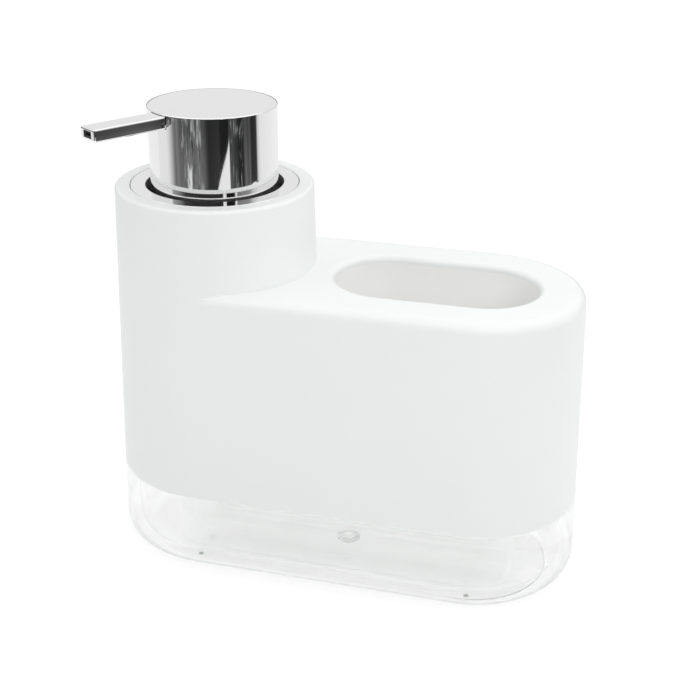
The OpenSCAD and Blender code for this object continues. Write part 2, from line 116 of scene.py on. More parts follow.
class Wire:
    """An output of a node, with the arithmetic that the shaders use on it."""

    def __init__(self, tree: "ShaderTree", socket: bpy.types.NodeSocket) -> None:
        """Wraps socket, which belongs to tree."""
        self.tree = tree
        self.socket = socket

    def _math(self, operation: str, *values: "Wire | float") -> "Wire":
        """Adds one Math node with these inputs, in order."""
        return self.tree.add("ShaderNodeMath", {"operation": operation}, dict(enumerate(values)))

    def __add__(self, other: "Wire | float") -> "Wire":
        """Sum."""
        return self._math("ADD", self, other)

    __radd__ = __add__

    def __sub__(self, other: "Wire | float") -> "Wire":
        """Difference."""
        return self._math("SUBTRACT", self, other)

    def __rsub__(self, other: float) -> "Wire":
        """Difference, as in 1 - mask."""
        return self._math("SUBTRACT", other, self)

    def __mul__(self, other: "Wire | float") -> "Wire":
        """Product."""
        return self._math("MULTIPLY", self, other)

    __rmul__ = __mul__

    def __truediv__(self, other: "Wire | float") -> "Wire":
        """Quotient."""
        return self._math("DIVIDE", self, other)

    def at_least(self, other: "Wire | float") -> "Wire":
        """The larger of the two."""
        return self._math("MAXIMUM", self, other)

    def size(self) -> "Wire":
        """The value without its sign."""
        return self._math("ABSOLUTE", self)

    def length(self, other: "Wire") -> "Wire":
        """Length of the flat vector that has this and other as its parts."""
        return self._math("SQRT", self * self + other * other)

    def step(self, low: "Wire | float", high: "Wire | float") -> "Wire":
        """A smooth rise from 0 where the value is low to 1 where it is high."""
        values = {"Value": self, "From Min": low, "From Max": high}
        return self.tree.add("ShaderNodeMapRange", {"interpolation_type": "SMOOTHSTEP"}, values)

    def fall(self, low: "Wire | float", high: "Wire | float") -> "Wire":
        """A smooth fall from 1 where the value is low to 0 where it is high."""
        return 1.0 - self.step(low, high)

    def band(self, rise: Flat, fall: Flat) -> "Wire":
        """A mask that rises from 0 to 1 over the first stretch and falls back over the second."""
        return self.step(*rise) * self.fall(*fall)

    def between(self, low: float, high: float) -> "Wire":
        """The number that lies this share of the way from low to high."""
        return low + (high - low) * self


class ShaderTree:
    """The nodes of a material or of the world."""

    def __init__(self, owner: bpy.types.Material | bpy.types.World) -> None:
        """Empties a node tree and takes it.

        Args:
            owner: The material or the world that the tree belongs to.
        """
        owner.use_nodes = True
        self.nodes = owner.node_tree.nodes
        self.links = owner.node_tree.links
        self.nodes.clear()

    def add(
        self,
        kind: str,
        settings: Mapping[str, Any] | None = None,
        inputs: Mapping[str | int, Any] | None = None,
        output: str | int = 0,
    ) -> Wire:
        """Makes one node.

        Args:
            kind: The node's type.
            settings: Its properties, and "stops" for a ramp's positions and colours.
            inputs: The value or the link of each socket that is set.
            output: Which of its outputs is wanted.

        Returns:
            That output.
        """
        node = self.nodes.new(kind)
        for name, value in (settings or {}).items():
            if name == "stops":
                self._set_stops(node.color_ramp, value)
            else:
                setattr(node, name, value)
        for name, value in (inputs or {}).items():
            socket = node.inputs[name]
            if isinstance(value, Wire):
                self.links.new(value.socket, socket)
            else:
                socket.default_value = value
        return Wire(self, node.outputs[output] if len(node.outputs) else None)

    @staticmethod
    def _set_stops(ramp: bpy.types.ColorRamp, stops: Sequence[tuple[float, Colour]]) -> None:
        """Gives a ramp its positions and colours.

        Args:
            ramp: The ramp.
            stops: A position from 0 to 1 and a colour for each of its stops.
        """
        while len(ramp.elements) < len(stops):
            ramp.elements.new(1.0)
        for element, (position, colour) in zip(ramp.elements, stops):
            element.position = position
            element.color = (*colour, 1.0)

    def place(self) -> Wire:
        """The point on the object, in metres in the shared frame."""
        return self.add("ShaderNodeTexCoord", output="Object")

    def parts(self, place: Wire) -> tuple[Wire, Wire, Wire]:
        """Splits a point or a direction.

        Args:
            place: The point or the direction.

        Returns:
            Its x, y and z.
        """
        outputs = self.add("ShaderNodeSeparateXYZ", inputs={0: place}).socket.node.outputs
        x, y, z = (Wire(self, outputs[axis]) for axis in "XYZ")
        return x, y, z

    def noise(
        self, place: Wire, grain: float, detail: float = 2.0, stretch: Point | None = None
    ) -> Wire:
        """Noise from 0 to 1.

        Args:
            place: Where it is read, in metres.
            grain: Size of its blotches, in millimetres.
            detail: How many finer layers it has.
            stretch: How much longer the blotches are along each axis.

        Returns:
            The noise's value.
        """
        if stretch:
            shrink = tuple(1.0 / s for s in stretch)
            settings = {"operation": "MULTIPLY"}
            place = self.add("ShaderNodeVectorMath", settings, {0: place, 1: shrink})
        values = {"Vector": place, "Scale": 1.0 / (grain * MM), "Detail": detail}
        return self.add("ShaderNodeTexNoise", inputs=values)

    def mix(self, share: Wire | float, first: Wire | Colour, second: Wire | Colour) -> Wire:
        """Mixes two colours.

        Args:
            share: How much of the second there is.
            first: The colour at a share of 0.
            second: The colour at a share of 1.

        Returns:
            The colour between them.
        """
        values: dict[str | int, Any] = {"Factor": share}
        for number, colour in ((MIX_FIRST, first), (MIX_SECOND, second)):
            values[number] = colour if isinstance(colour, Wire) else (*colour, 1.0)
        return self.add("ShaderNodeMix", {"data_type": "RGBA"}, values, output=MIX_RESULT)

    def bump(self, height: Wire, distance: float) -> Wire:
        """A normal bent by height, which stands for a relief of distance in millimetres."""
        values = {"Height": height, "Distance": distance * MM, "Strength": 1.0}
        return self.add("ShaderNodeBump", inputs=values)

    def finish(self, surface: Wire, kind: str = "ShaderNodeOutputMaterial") -> None:
        """Links the shader to the output."""
        self.add(kind, inputs={"Surface": surface})


@dataclass(frozen=True)
class Finish:
    """What every finish has: a name, the record's slot and the colour."""

    name: str
    slot: Slot
    colour: Colour

    def material(self) -> bpy.types.Material:
        """Makes the finish's material, once.

        Returns:
            The material.
        """
        made = bpy.data.materials.get(self.name)
        if made is None:
            made = bpy.data.materials.new(self.name)
            tree = ShaderTree(made)
            tree.finish(self.surface(tree))
            made.diffuse_color = (*self.colour, 1.0)
        return made

    def shaded(self, share: float) -> Colour:
        """The colour with its brightness multiplied by share."""
        red, green, blue = self.colour
        return (share * red, share * green, share * blue)

    def surface(self, tree: ShaderTree) -> Wire:
        """The shader, which each kind of finish makes."""
        raise NotImplementedError


@dataclass(frozen=True)
class Plastic(Finish):
    """Moulded opaque plastic with a faint flow pattern and a fine grain."""

    roughness: float = 0.35
    gloss_change: float = 0.05
    ior: float = 1.49
    mottle: float = 0.012
    flow_mm: float = 26.0
    flow_stretch: Point = (1.0, 1.0, 2.4)
    grain_mm: float = 0.55
    relief_mm: float = 0.004
    light_through: float = 0.0
    light_depth_mm: float = 1.5

    def surface(self, tree: ShaderTree) -> Wire:
        """Lets the flow tint the colour and the gloss, and the grain bend the light.

        Args:
            tree: The material's tree.

        Returns:
            The shader.
        """
        place = tree.place()
        flow = tree.noise(place, self.flow_mm, detail=3.0, stretch=self.flow_stretch)
        grain = tree.noise(place, self.grain_mm, detail=1.5)
        return tree.add(
            "ShaderNodeBsdfPrincipled",
            inputs={
                "Base Color": tree.mix(flow, self.shaded(1.0 - 2.0 * self.mottle), self.colour),
                "Roughness": self.roughness + self.gloss_change * (flow + grain - 1.0),
                "IOR": self.ior,
                "Subsurface Weight": self.light_through,
                "Subsurface Scale": self.light_depth_mm * MM,
                "Normal": tree.bump(grain, self.relief_mm),
            },
        )


@dataclass(frozen=True)
class ClearPlastic(Finish):
    """Clear moulded plastic: light passes through, and its edges bend and catch it."""

    roughness: float = 0.03
    gloss: Flat = (0.6, 1.4)
    wave_mm: float = 9.0
    relief_mm: float = 0.006
    ior: float = 1.47
    alpha: float = 0.17
    edge_alpha: float = 0.8
    edge_facing: Flat = (0.5, 1.0)
    # Colour of the mould's marks, and of the painted shade and painted line on the tub's flat
    # underside
    mark_and_shade_colour: Colour = grey(0.12)
    mark_roughness: float = 0.5

    def surface(self, tree: ShaderTree) -> Wire:
        """Bends the light more at the edges and gives the plastic slight waves from the mould.

        Args:
            tree: The material's tree.

        Returns:
            The shader.
        """
        place = tree.place()
        wave = tree.noise(place, self.wave_mm)
        # The marks darken the colour: the mould's marks, and on the tub painted shade as well
        marks = self.marks(tree, place)
        facing = tree.add("ShaderNodeLayerWeight", output="Facing")
        alpha = facing.step(*self.edge_facing).between(self.alpha, self.edge_alpha)
        clean = tree.mix(wave, self.colour, grey(1.0))
        roughness = self.roughness * wave.between(*self.gloss)
        return tree.add(
            "ShaderNodeBsdfPrincipled",
            inputs={
                "Base Color": tree.mix(marks, clean, self.mark_and_shade_colour),
                "Roughness": roughness + self.mark_roughness * marks,
                "IOR": self.ior,
                "Transmission Weight": 1.0,
                "Alpha": alpha.at_least(marks),
                "Normal": tree.bump(wave, self.relief_mm),
            },
        )

    def marks(self, tree: ShaderTree, place: Wire) -> Wire | float:
        """How dark and rough the surface is there from marks and painted shade, from 0 to 1."""
        return 0.0


@dataclass(frozen=True)
class TubPlastic(ClearPlastic):
    """Clear plastic of the tub, with the mould's marks and painted shade on its underside."""

    mould: MouldMarks = MouldMarks()
    under_z: Flat = (0.5, 1.0)
    ejector_fade: Flat = (-0.3, 0.2)
    gate_r: float = 3.1
    gate_fade: Flat = (0.5, 1.6)
    gate_dull: float = 0.8
    scuff_mm: float = 1.6
    scuff: Flat = (0.33, 0.5)
    # A painted dark line round the flat underside stands in for the light that its edge bends,
    # stronger towards the right end
    line_w: float = 0.36
    line_painted_shade: Flat = (0.2, 0.6)
    line_x: Flat = (36.0, 54.0)
    flat_r: float = 25.4
    # Painted shade darkens the flat underside for the shadow seen through it: weaker at the round
    # ends and stronger towards the back
    flat_fade: Flat = (-0.4, 0.2)
    flat_painted_shade: Flat = (0.17, 0.66)
    end_painted_shade: float = 0.55
    end_fade: Flat = (44.0, 67.0)

    def marks(self, tree: ShaderTree, place: Wire) -> Wire:
        """Darkens and roughens the ejectors' spots and the gate's ring, paints shade on the flat
        underside and paints a dark line round it.

        Args:
            tree: The material's tree.
            place: The point on the tub, in metres.

        Returns:
            How dark and rough the surface is there, from 0 to 1, with the painted shade on the flat
            underside and the painted line round it.
        """
        x, y, z = (c / MM for c in tree.parts(place))
        mould, across, end = self.mould, x - self.mould.middle_x, x.size()
        spot = (across.size() - mould.ejector_x).length(y.size() - mould.ejector_y)
        spot = (spot - mould.ejector_r).fall(*self.ejector_fade)
        scuff = tree.noise(place, self.scuff_mm, detail=3.0).step(*self.scuff)
        ring = (across.length(y) - self.gate_r).size().fall(*self.gate_fade)
        ring = ring * self.gate_dull * scuff
        edge = (end - END_X).at_least(0.0).length(y) - self.flat_r
        # Painted dark line at the flat's edge, stronger towards the right end
        line = edge.size().fall(self.line_w / 2, self.line_w)
        line = line * x.step(*self.line_x).between(*self.line_painted_shade)
        # Painted shade on the flat underside, weaker at the round ends and stronger towards the
        # back
        flat = edge.fall(*self.flat_fade) * end.step(*self.end_fade).between(1.0, self.end_painted_shade)
        flat = flat * y.step(-self.flat_r, self.flat_r).between(*self.flat_painted_shade)
        dull = spot.at_least(ring).at_least(line).at_least(flat)
        return dull * z.fall(*self.under_z)


@dataclass(frozen=True)
class Chrome(Finish):
    """Bright plating, whose faint waves and polishing haze show in its reflections."""

    roughness: float = 0.035
    gloss: Flat = (0.5, 1.5)
    wave_mm: float = 7.0
    wave_stretch: Point = (1.0, 1.0, 3.0)
    relief_mm: float = 0.010
    haze_mm: float = 3.0
    haze_shade: float = 0.97

    def surface(self, tree: ShaderTree) -> Wire:
        """Makes metal with a polish that varies a little.

        Args:
            tree: The material's tree.

        Returns:
            The shader.
        """
        place = tree.place()
        wave = tree.noise(place, self.wave_mm, detail=1.0, stretch=self.wave_stretch)
        haze = tree.noise(place, self.haze_mm, detail=3.0)
        return tree.add(
            "ShaderNodeBsdfPrincipled",
            inputs={
                "Base Color": tree.mix(haze, self.shaded(self.haze_shade), self.colour),
                "Metallic": 1.0,
                "Roughness": self.roughness * haze.between(*self.gloss) + self.dull(tree, place),
                "Normal": tree.bump(wave, self.relief_mm),
            },
        )

    def dull(self, tree: ShaderTree, place: Wire) -> Wire | float:
        """Roughness that is added where the plating is poor."""
        return 0.0


@dataclass(frozen=True)
class CollarChrome(Chrome):
    """Plating of the collar, which is dull down in the well."""

    axis_x: float = -END_X
    well_r: float = 21.6
    well_z: float = 122.7
    well_dull: float = 0.3
    fade_r: float = 0.1
    fade_z: float = 0.2

    def dull(self, tree: ShaderTree, place: Wire) -> Wire:
        """Makes the well's wall and floor rougher.

        Args:
            tree: The material's tree.
            place: The point on the collar, in metres.

        Returns:
            The roughness to add there.
        """
        x, y, z = (c / MM for c in tree.parts(place))
        inside = (x - self.axis_x).length(y).fall(self.well_r, self.well_r + self.fade_r)
        return inside * z.fall(self.well_z, self.well_z + self.fade_z) * self.well_dull


@dataclass(frozen=True)
class Steel(Finish):
    """Drawn steel wire or a ground ball, with fine streaks."""

    roughness: float = 0.28
    streak_mm: float = 0.25
    streak_stretch: Point = (1.0, 1.0, 8.0)
    streak_change: float = 0.15
    relief_mm: float = 0.004
    stain_mm: float = 4.0
    stain_shade: float = 0.85

    def surface(self, tree: ShaderTree) -> Wire:
        """Makes metal with streaks in its gloss and faint stains.

        Args:
            tree: The material's tree.

        Returns:
            The shader.
        """
        place = tree.place()
        streak = tree.noise(place, self.streak_mm, detail=3.0, stretch=self.streak_stretch)
        stain = tree.noise(place, self.stain_mm)
        return tree.add(
            "ShaderNodeBsdfPrincipled",
            inputs={
                "Base Color": tree.mix(stain, self.shaded(self.stain_shade), self.colour),
                "Metallic": 1.0,
                "Roughness": self.roughness + self.streak_change * (streak - 0.5),
                "Normal": tree.bump(streak, self.relief_mm),
            },
        )


@dataclass(frozen=True)
class Rubber(Finish):
    """Moulded seal rubber with a dull, dusty grain."""

    roughness: float = 0.7
    dust_mm: float = 1.6
    dust_shade: float = 1.5
    dust_change: float = 0.2
    grain_mm: float = 0.2
    relief_mm: float = 0.01

    def surface(self, tree: ShaderTree) -> Wire:
        """Makes the rubber dark, rough and slightly blotchy.

        Args:
            tree: The material's tree.

        Returns:
            The shader.
        """
        place = tree.place()
        dust = tree.noise(place, self.dust_mm, detail=4.0)
        grain = tree.noise(place, self.grain_mm)
        return tree.add(
            "ShaderNodeBsdfPrincipled",
            inputs={
                "Base Color": tree.mix(dust, self.colour, self.shaded(self.dust_shade)),
                "Roughness": self.roughness + self.dust_change * (dust - 0.5),
                "Normal": tree.bump(grain, self.relief_mm),
            },
        )


WHITE = Plastic("white_satin", Slot.WHITE, (0.921, 0.943, 0.934))
# Lighter copy of the white plastic: painted light that brightens the pocket's shaded inside
POCKET_LIT_WHITE = Plastic("pocket_lit_satin", Slot.WHITE, (0.98, 0.98, 0.97), roughness=0.42)
CLEAR = TubPlastic("clear_gloss", Slot.CLEAR, (0.81, 0.9, 0.845))
CHROME = Chrome("bright_chrome", Slot.CHROME, grey(0.885))
COLLAR_CHROME = CollarChrome("collar_chrome", Slot.CHROME, grey(0.885))
NATURAL = Plastic(
    "natural_satin", Slot.NATURAL, (0.8, 0.815, 0.8), roughness=0.45, light_through=0.15
)
TUBE = ClearPlastic("tube_clear", Slot.NATURAL, (0.985, 0.99, 0.99), roughness=0.1, ior=1.12)
DARK = Plastic("insert_satin", Slot.DARK, (0.03, 0.03, 0.033), roughness=0.45, mottle=0.1)
RUBBER = Rubber("seal_matte", Slot.RUBBER, (0.035, 0.035, 0.038))
STEEL = Steel("drawn_steel", Slot.STEEL, (0.6, 0.61, 0.63))


# ------------------------------------------------------------------------------------ mesh making


def spread(start: float, end: float, steps: int) -> list[float]:
    """Evenly spaced values from start to end, both included."""
    return [start + (end - start) * i / steps for i in range(steps + 1)]


def arc(centre: Flat, radius: float, start: float, end: float, steps: int) -> list[Flat]:
    """Points along an arc.

    Args:
        centre: The arc's centre.
        radius: Its radius.
        start: Angle of its first point in degrees, counted from the first axis.
        end: Angle of its last point.
        steps: How many steps it has.

    Returns:
        One more point than steps.
    """
    turns = [math.radians(turn) for turn in spread(start, end, steps)]
    return [(centre[0] + radius * math.cos(t), centre[1] + radius * math.sin(t)) for t in turns]


def plan_point(axis: Flat, radius: Radius, turn: float, height: float) -> Point:
    """Finds a point from its place round an upright axis.

    Args:
        axis: Where the axis stands.
        radius: Distance from it.
        turn: Angle in degrees from the front, counted towards +X.
        height: The point's height.

    Returns:
        The point.
    """
    angle = math.radians(turn)
    reach = radius(turn) if callable(radius) else radius
    return (axis[0] + reach * math.sin(angle), axis[1] - reach * math.cos(angle), height)


@dataclass
class Skin:
    """Points and faces of one closed piece, in millimetres."""

    points: list[Point] = field(default_factory=list)
    faces: list[tuple[int, ...]] = field(default_factory=list)

    def ring(self, points: Iterable[Point]) -> list[int]:
        """Adds a row of points.

        Args:
            points: The points, in order.

        Returns:
            Their numbers.
        """
        first = len(self.points)
        self.points.extend(points)
        return list(range(first, len(self.points)))

    def bridge(self, first: Sequence[int], second: Sequence[int], closed: bool = True) -> None:
        """Joins two rows of as many points with four-sided faces.

        Args:
            first: Numbers of the points in one row.
            second: Those in the other.
            closed: Whether the rows are rings.
        """
        count = len(first)
        for i in range(count if closed else count - 1):
            j = (i + 1) % count
            self.faces.append((first[i], first[j], second[j], second[i]))

    def tube(
        self, rows: Iterable[Iterable[Point]], closed: bool = True, looped: bool = False
    ) -> list[list[int]]:
        """Adds rows of as many points, each bridged to the next.

        Args:
            rows: The points of each row.
            closed: Whether the rows are rings.
            looped: Whether the last row is bridged to the first.

        Returns:
            The numbers of the points in each row.
        """
        rings = [self.ring(row) for row in rows]
        for first, second in zip(rings, [*rings[1:], rings[0]] if looped else rings[1:]):
            self.bridge(first, second, closed)
        return rings

    def fill(self, outer: Sequence[int], holes: Sequence[Sequence[int]] = ()) -> None:
        """Fills a level area.

        Args:
            outer: Numbers of the points round it.
            holes: Those round each hole in it.
        """
        loops = [outer, *holes]
        flat = [[Vector((*self.points[i][:2], 0.0)) for i in loop] for loop in loops]
        numbers = [i for loop in loops for i in loop]
        self.faces += [tuple(numbers[c] for c in corners) for corners in tessellate_polygon(flat)]

    def cap(self, ring: Sequence[int], tip: Point) -> None:
        """Closes a ring with a fan of faces to tip."""
        (centre,) = self.ring([tip])
        self.faces += [(i, j, centre) for i, j in zip(ring, [*ring[1:], ring[0]])]

    def cap_ends(self, rings: Sequence[Sequence[int]]) -> None:
        """Closes the first and the last ring of a tube with one face each."""
        self.faces += [tuple(reversed(rings[0])), tuple(rings[-1])]

    def build(self, name: str, sharp: float = SHARP) -> bpy.types.Object:
        """Makes the piece's object.

        Args:
            name: The piece's name.
            sharp: Edges that turn by more than this many degrees stay sharp.

        Returns:
            The new object, with its normals out and its flat faces shaded flat.
        """
        mesh = bpy.data.meshes.new(name)
        mesh.from_pydata([tuple(c * MM for c in p) for p in self.points], [], self.faces)
        work = bmesh.new()
        work.from_mesh(mesh)
        bmesh.ops.remove_doubles(work, verts=work.verts, dist=WELD * MM)
        bmesh.ops.dissolve_degenerate(work, edges=work.edges, dist=SLIVER * MM)
        bmesh.ops.recalc_face_normals(work, faces=work.faces)
        open_edges = sum(not e.is_manifold for e in work.edges)
        if open_edges:
            log.warning("%s has %d open edges", name, open_edges)
        work.to_mesh(mesh)
        work.free()
        item = add_object(name, mesh)
        shade(item, sharp)
        return item


def add_object(name: str, data: bpy.types.ID) -> bpy.types.Object:
    """Puts a mesh, a camera or a light in the scene.

    Args:
        name: The object's name.
        data: What it holds.

    Returns:
        The new object.
    """
    item = bpy.data.objects.new(name, data)
    bpy.context.scene.collection.objects.link(item)
    return item


def shade(item: bpy.types.Object, sharp: float = SHARP) -> None:
    """Smooths an object's faces and keeps its flat faces flat.

    Args:
        item: The object.
        sharp: Edges that turn by more than this many degrees stay sharp.
    """
    mesh = item.data
    mesh.polygons.foreach_set("use_smooth", [True] * len(mesh.polygons))
    mesh.set_sharp_from_angle(angle=math.radians(sharp))
    even = item.modifiers.new("even", "WEIGHTED_NORMAL")
    even.keep_sharp = True
    even.weight = BY_AREA


def cut(item: bpy.types.Object, tool: bpy.types.Object) -> None:
    """Cuts one object out of another.

    Args:
        item: The object that is cut and shaded again.
        tool: What is cut out of it and then removed.
    """
    item.modifiers.clear()
    change = item.modifiers.new("cut", "BOOLEAN")
    change.operation, change.object, change.solver = "DIFFERENCE", tool, "EXACT"
    bpy.context.view_layer.update()
    done = item.evaluated_get(bpy.context.evaluated_depsgraph_get())
    mesh = bpy.data.meshes.new_from_object(done)
    item.modifiers.clear()
    old, item.data = item.data, mesh
    bpy.data.meshes.remove(old)
    mesh.name = item.name
    bpy.data.objects.remove(tool)
    shade(item)


def dress(item: bpy.types.Object, finish: Finish, body: Group, *nodes: str) -> bpy.types.Object:
    """Gives a piece its finish and its body, and hides the construction nodes that it stands for.

    Args:
        item: The piece.
        finish: What it is made of.
        body: The body that it moves with.
        nodes: The nodes that it replaces.

    Returns:
        The piece.
    """
    item.data.materials.clear()
    item.data.materials.append(finish.material())
    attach(item, body.value)
    if nodes:
        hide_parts(*nodes)
    low, high = (Vector(item.bound_box[i]) for i in (0, 6))
    size, faces = " x ".join(f"{s / MM:.1f}" for s in high - low), len(item.data.polygons)
    log.info("%s: %d faces, %s mm, rides on %s", item.name, faces, size, body.value)
    return item


@dataclass(frozen=True)
class Lathe:
    """Turned form about an upright axis."""

    axis: Flat
    columns: int

    def rows(self, outline: Iterable[tuple[Radius, float]]) -> list[list[Point]]:
        """Turns an outline.

        Args:
            outline: Its radii and heights.

        Returns:
            A ring of points for each of them.
        """
        turns = [FULL * i / self.columns for i in range(self.columns)]
        return [[plan_point(self.axis, radius, t, z) for t in turns] for radius, z in outline]


@dataclass(frozen=True)
class Thread:
    """The screw thread between the tower's neck and the collar."""

    pitch: float = 3.0
    crest: float = 0.16
    flank: float = 0.12
    ridge_low: float = 108.4
    groove_low: float = 100.0
    high: float = 118.6
    ridge: float = 0.45
    groove: float = 0.6
    groove_play: float = 0.06
    run_out: float = 1.2
    row_h: float = 0.18

    def depth(self, turn: float, height: float, low: float, play: float = 0.0) -> float:
        """Finds how far the thread's ridge stands out, or its groove goes in, at a place.

        Args:
            turn: The place's angle in degrees.
            height: Its height.
            low: Height at which the thread starts.
            play: Room that it leaves for the other part's thread.

        Returns:
            The share of the full depth, from 0 to 1.
        """
        phase = (height / self.pitch - turn / FULL) % 1.0
        flat = (self.crest + self.flank + play - abs(phase - 0.5)) / self.flank
        fade = min(height - low, self.high + play - height) / self.run_out
        return max(0.0, min(1.0, flat)) * max(0.0, min(1.0, fade))

    def neck(self, radius: float, height: float) -> Turned:
        """Radius of the neck's bore at a height, with the ridge standing in from it."""
        return lambda turn: radius - self.ridge * self.depth(turn, height, self.ridge_low)

    def skirt(self, radius: float, height: float) -> Turned:
        """Radius of the collar's skirt at a height, with the groove that is open at its foot."""
        low, play = self.groove_low, self.groove_play
        return lambda turn: radius - self.groove * self.depth(turn, height, low, play)

    def heights(self, high: float, low: float) -> list[float]:
        """Heights from high down to low, close enough together to carry the thread."""
        return spread(low, high, math.ceil((high - low) / self.row_h))[::-1]


# ----------------------------------------------------------------------------------- sub-assemblies


@dataclass(frozen=True)
class Body:
    """Sizes that the sleeve, the base and the pocket share."""

    half: float = END_X
    foot_r: float = 34.3
    tower_r: float = 31.0
    tower_h: float = 123.0
    deck_h: float = 97.2
    sleeve_wall: float = 2.4
    band_h: float = 28.0
    opening_spacing: float = 29.3
    opening_r: float = 17.2
    opening_x: float = 28.6
    end_steps: int = 72
    side_steps: int = 20
    wall_steps: int = 3

    @property
    def taper(self) -> float:
        """Slope of the side walls from upright, in degrees."""
        return math.degrees(math.atan((self.foot_r - self.tower_r) / self.tower_h))

    @property
    def ceiling(self) -> float:
        """Height of the deck's underside."""
        return self.deck_h - self.sleeve_wall

    def side_r(self, height: float) -> float:
        """Radius of the outer wall at a height."""
        return self.foot_r - height * math.tan(math.radians(self.taper))

    def inner_r(self, height: float) -> float:
        """Radius of the sleeve's inner face at a height."""
        return self.side_r(height) - self.sleeve_wall

    def round_centre(self, height: float, radius: float, inset: float = 0.0) -> Flat:
        """Finds the centre of a rounding that touches the side wall.

        Args:
            height: The centre's height.
            radius: The rounding's radius.
            inset: How far the wall that it touches lies inside the outer one.

        Returns:
            The centre's distance from the end's middle, and its height.
        """
        reach = radius / math.cos(math.radians(self.taper))
        return (self.side_r(height) - inset - reach, height)

    def edge(self, height: float, radius: float, steps: int) -> list[Flat]:
        """Rounded edge under a level top, as radii and heights from the wall up."""
        centre = self.round_centre(height - radius, radius)
        return arc(centre, radius, self.taper, QUARTER, steps)

    def ovals(self, outline: Iterable[Flat]) -> list[list[Point]]:
        """Level rings of the long oval for radii and heights, from the front left."""
        return [self._oval(r, z, -self.half, self.half) for r, z in outline]

    def openings(self, outline: Iterable[Flat]) -> list[list[Point]]:
        """Level rings of the deck's opening for radii and heights, from the front left."""
        left, right = (self.opening_x + s * self.opening_spacing / 2 for s in (-1, 1))
        return [self._oval(r, z, left, right) for r, z in outline]

    def _oval(self, radius: float, height: float, left_x: float, right_x: float) -> list[Point]:
        """Lays out a level oval.

        Args:
            radius: Radius of its round ends.
            height: Its height.
            left_x: Where its left end's centre is along X.
            right_x: The same for its right end.

        Returns:
            Its points, from the front left round by the right.
        """
        left = [plan_point((left_x, 0.0), radius, HALF + t, height) for t in self._end_turns()]
        return self.right_path(radius, height, left_x, right_x) + left[1:-1]

    def _end_turns(self) -> list[float]:
        """Angles of one round end's points."""
        return spread(0.0, HALF, self.end_steps)

    def right_path(self, radius: float, height: float, start_x: float, end_x: float) -> list[Point]:
        """Lays out the front side, the right end and the back side of a level oval.

        Args:
            radius: Radius of its round end.
            height: Its height.
            start_x: Where both sides start along X.
            end_x: Where the round end's centre is.

        Returns:
            Its points, from the front left to the back left.
        """
        sides = spread(start_x, end_x, self.side_steps)
        end = [plan_point((end_x, 0.0), radius, t, height) for t in self._end_turns()]
        back = [(x, radius, height) for x in reversed(sides)]
        return [(x, -radius, height) for x in sides] + end[1:-1] + back


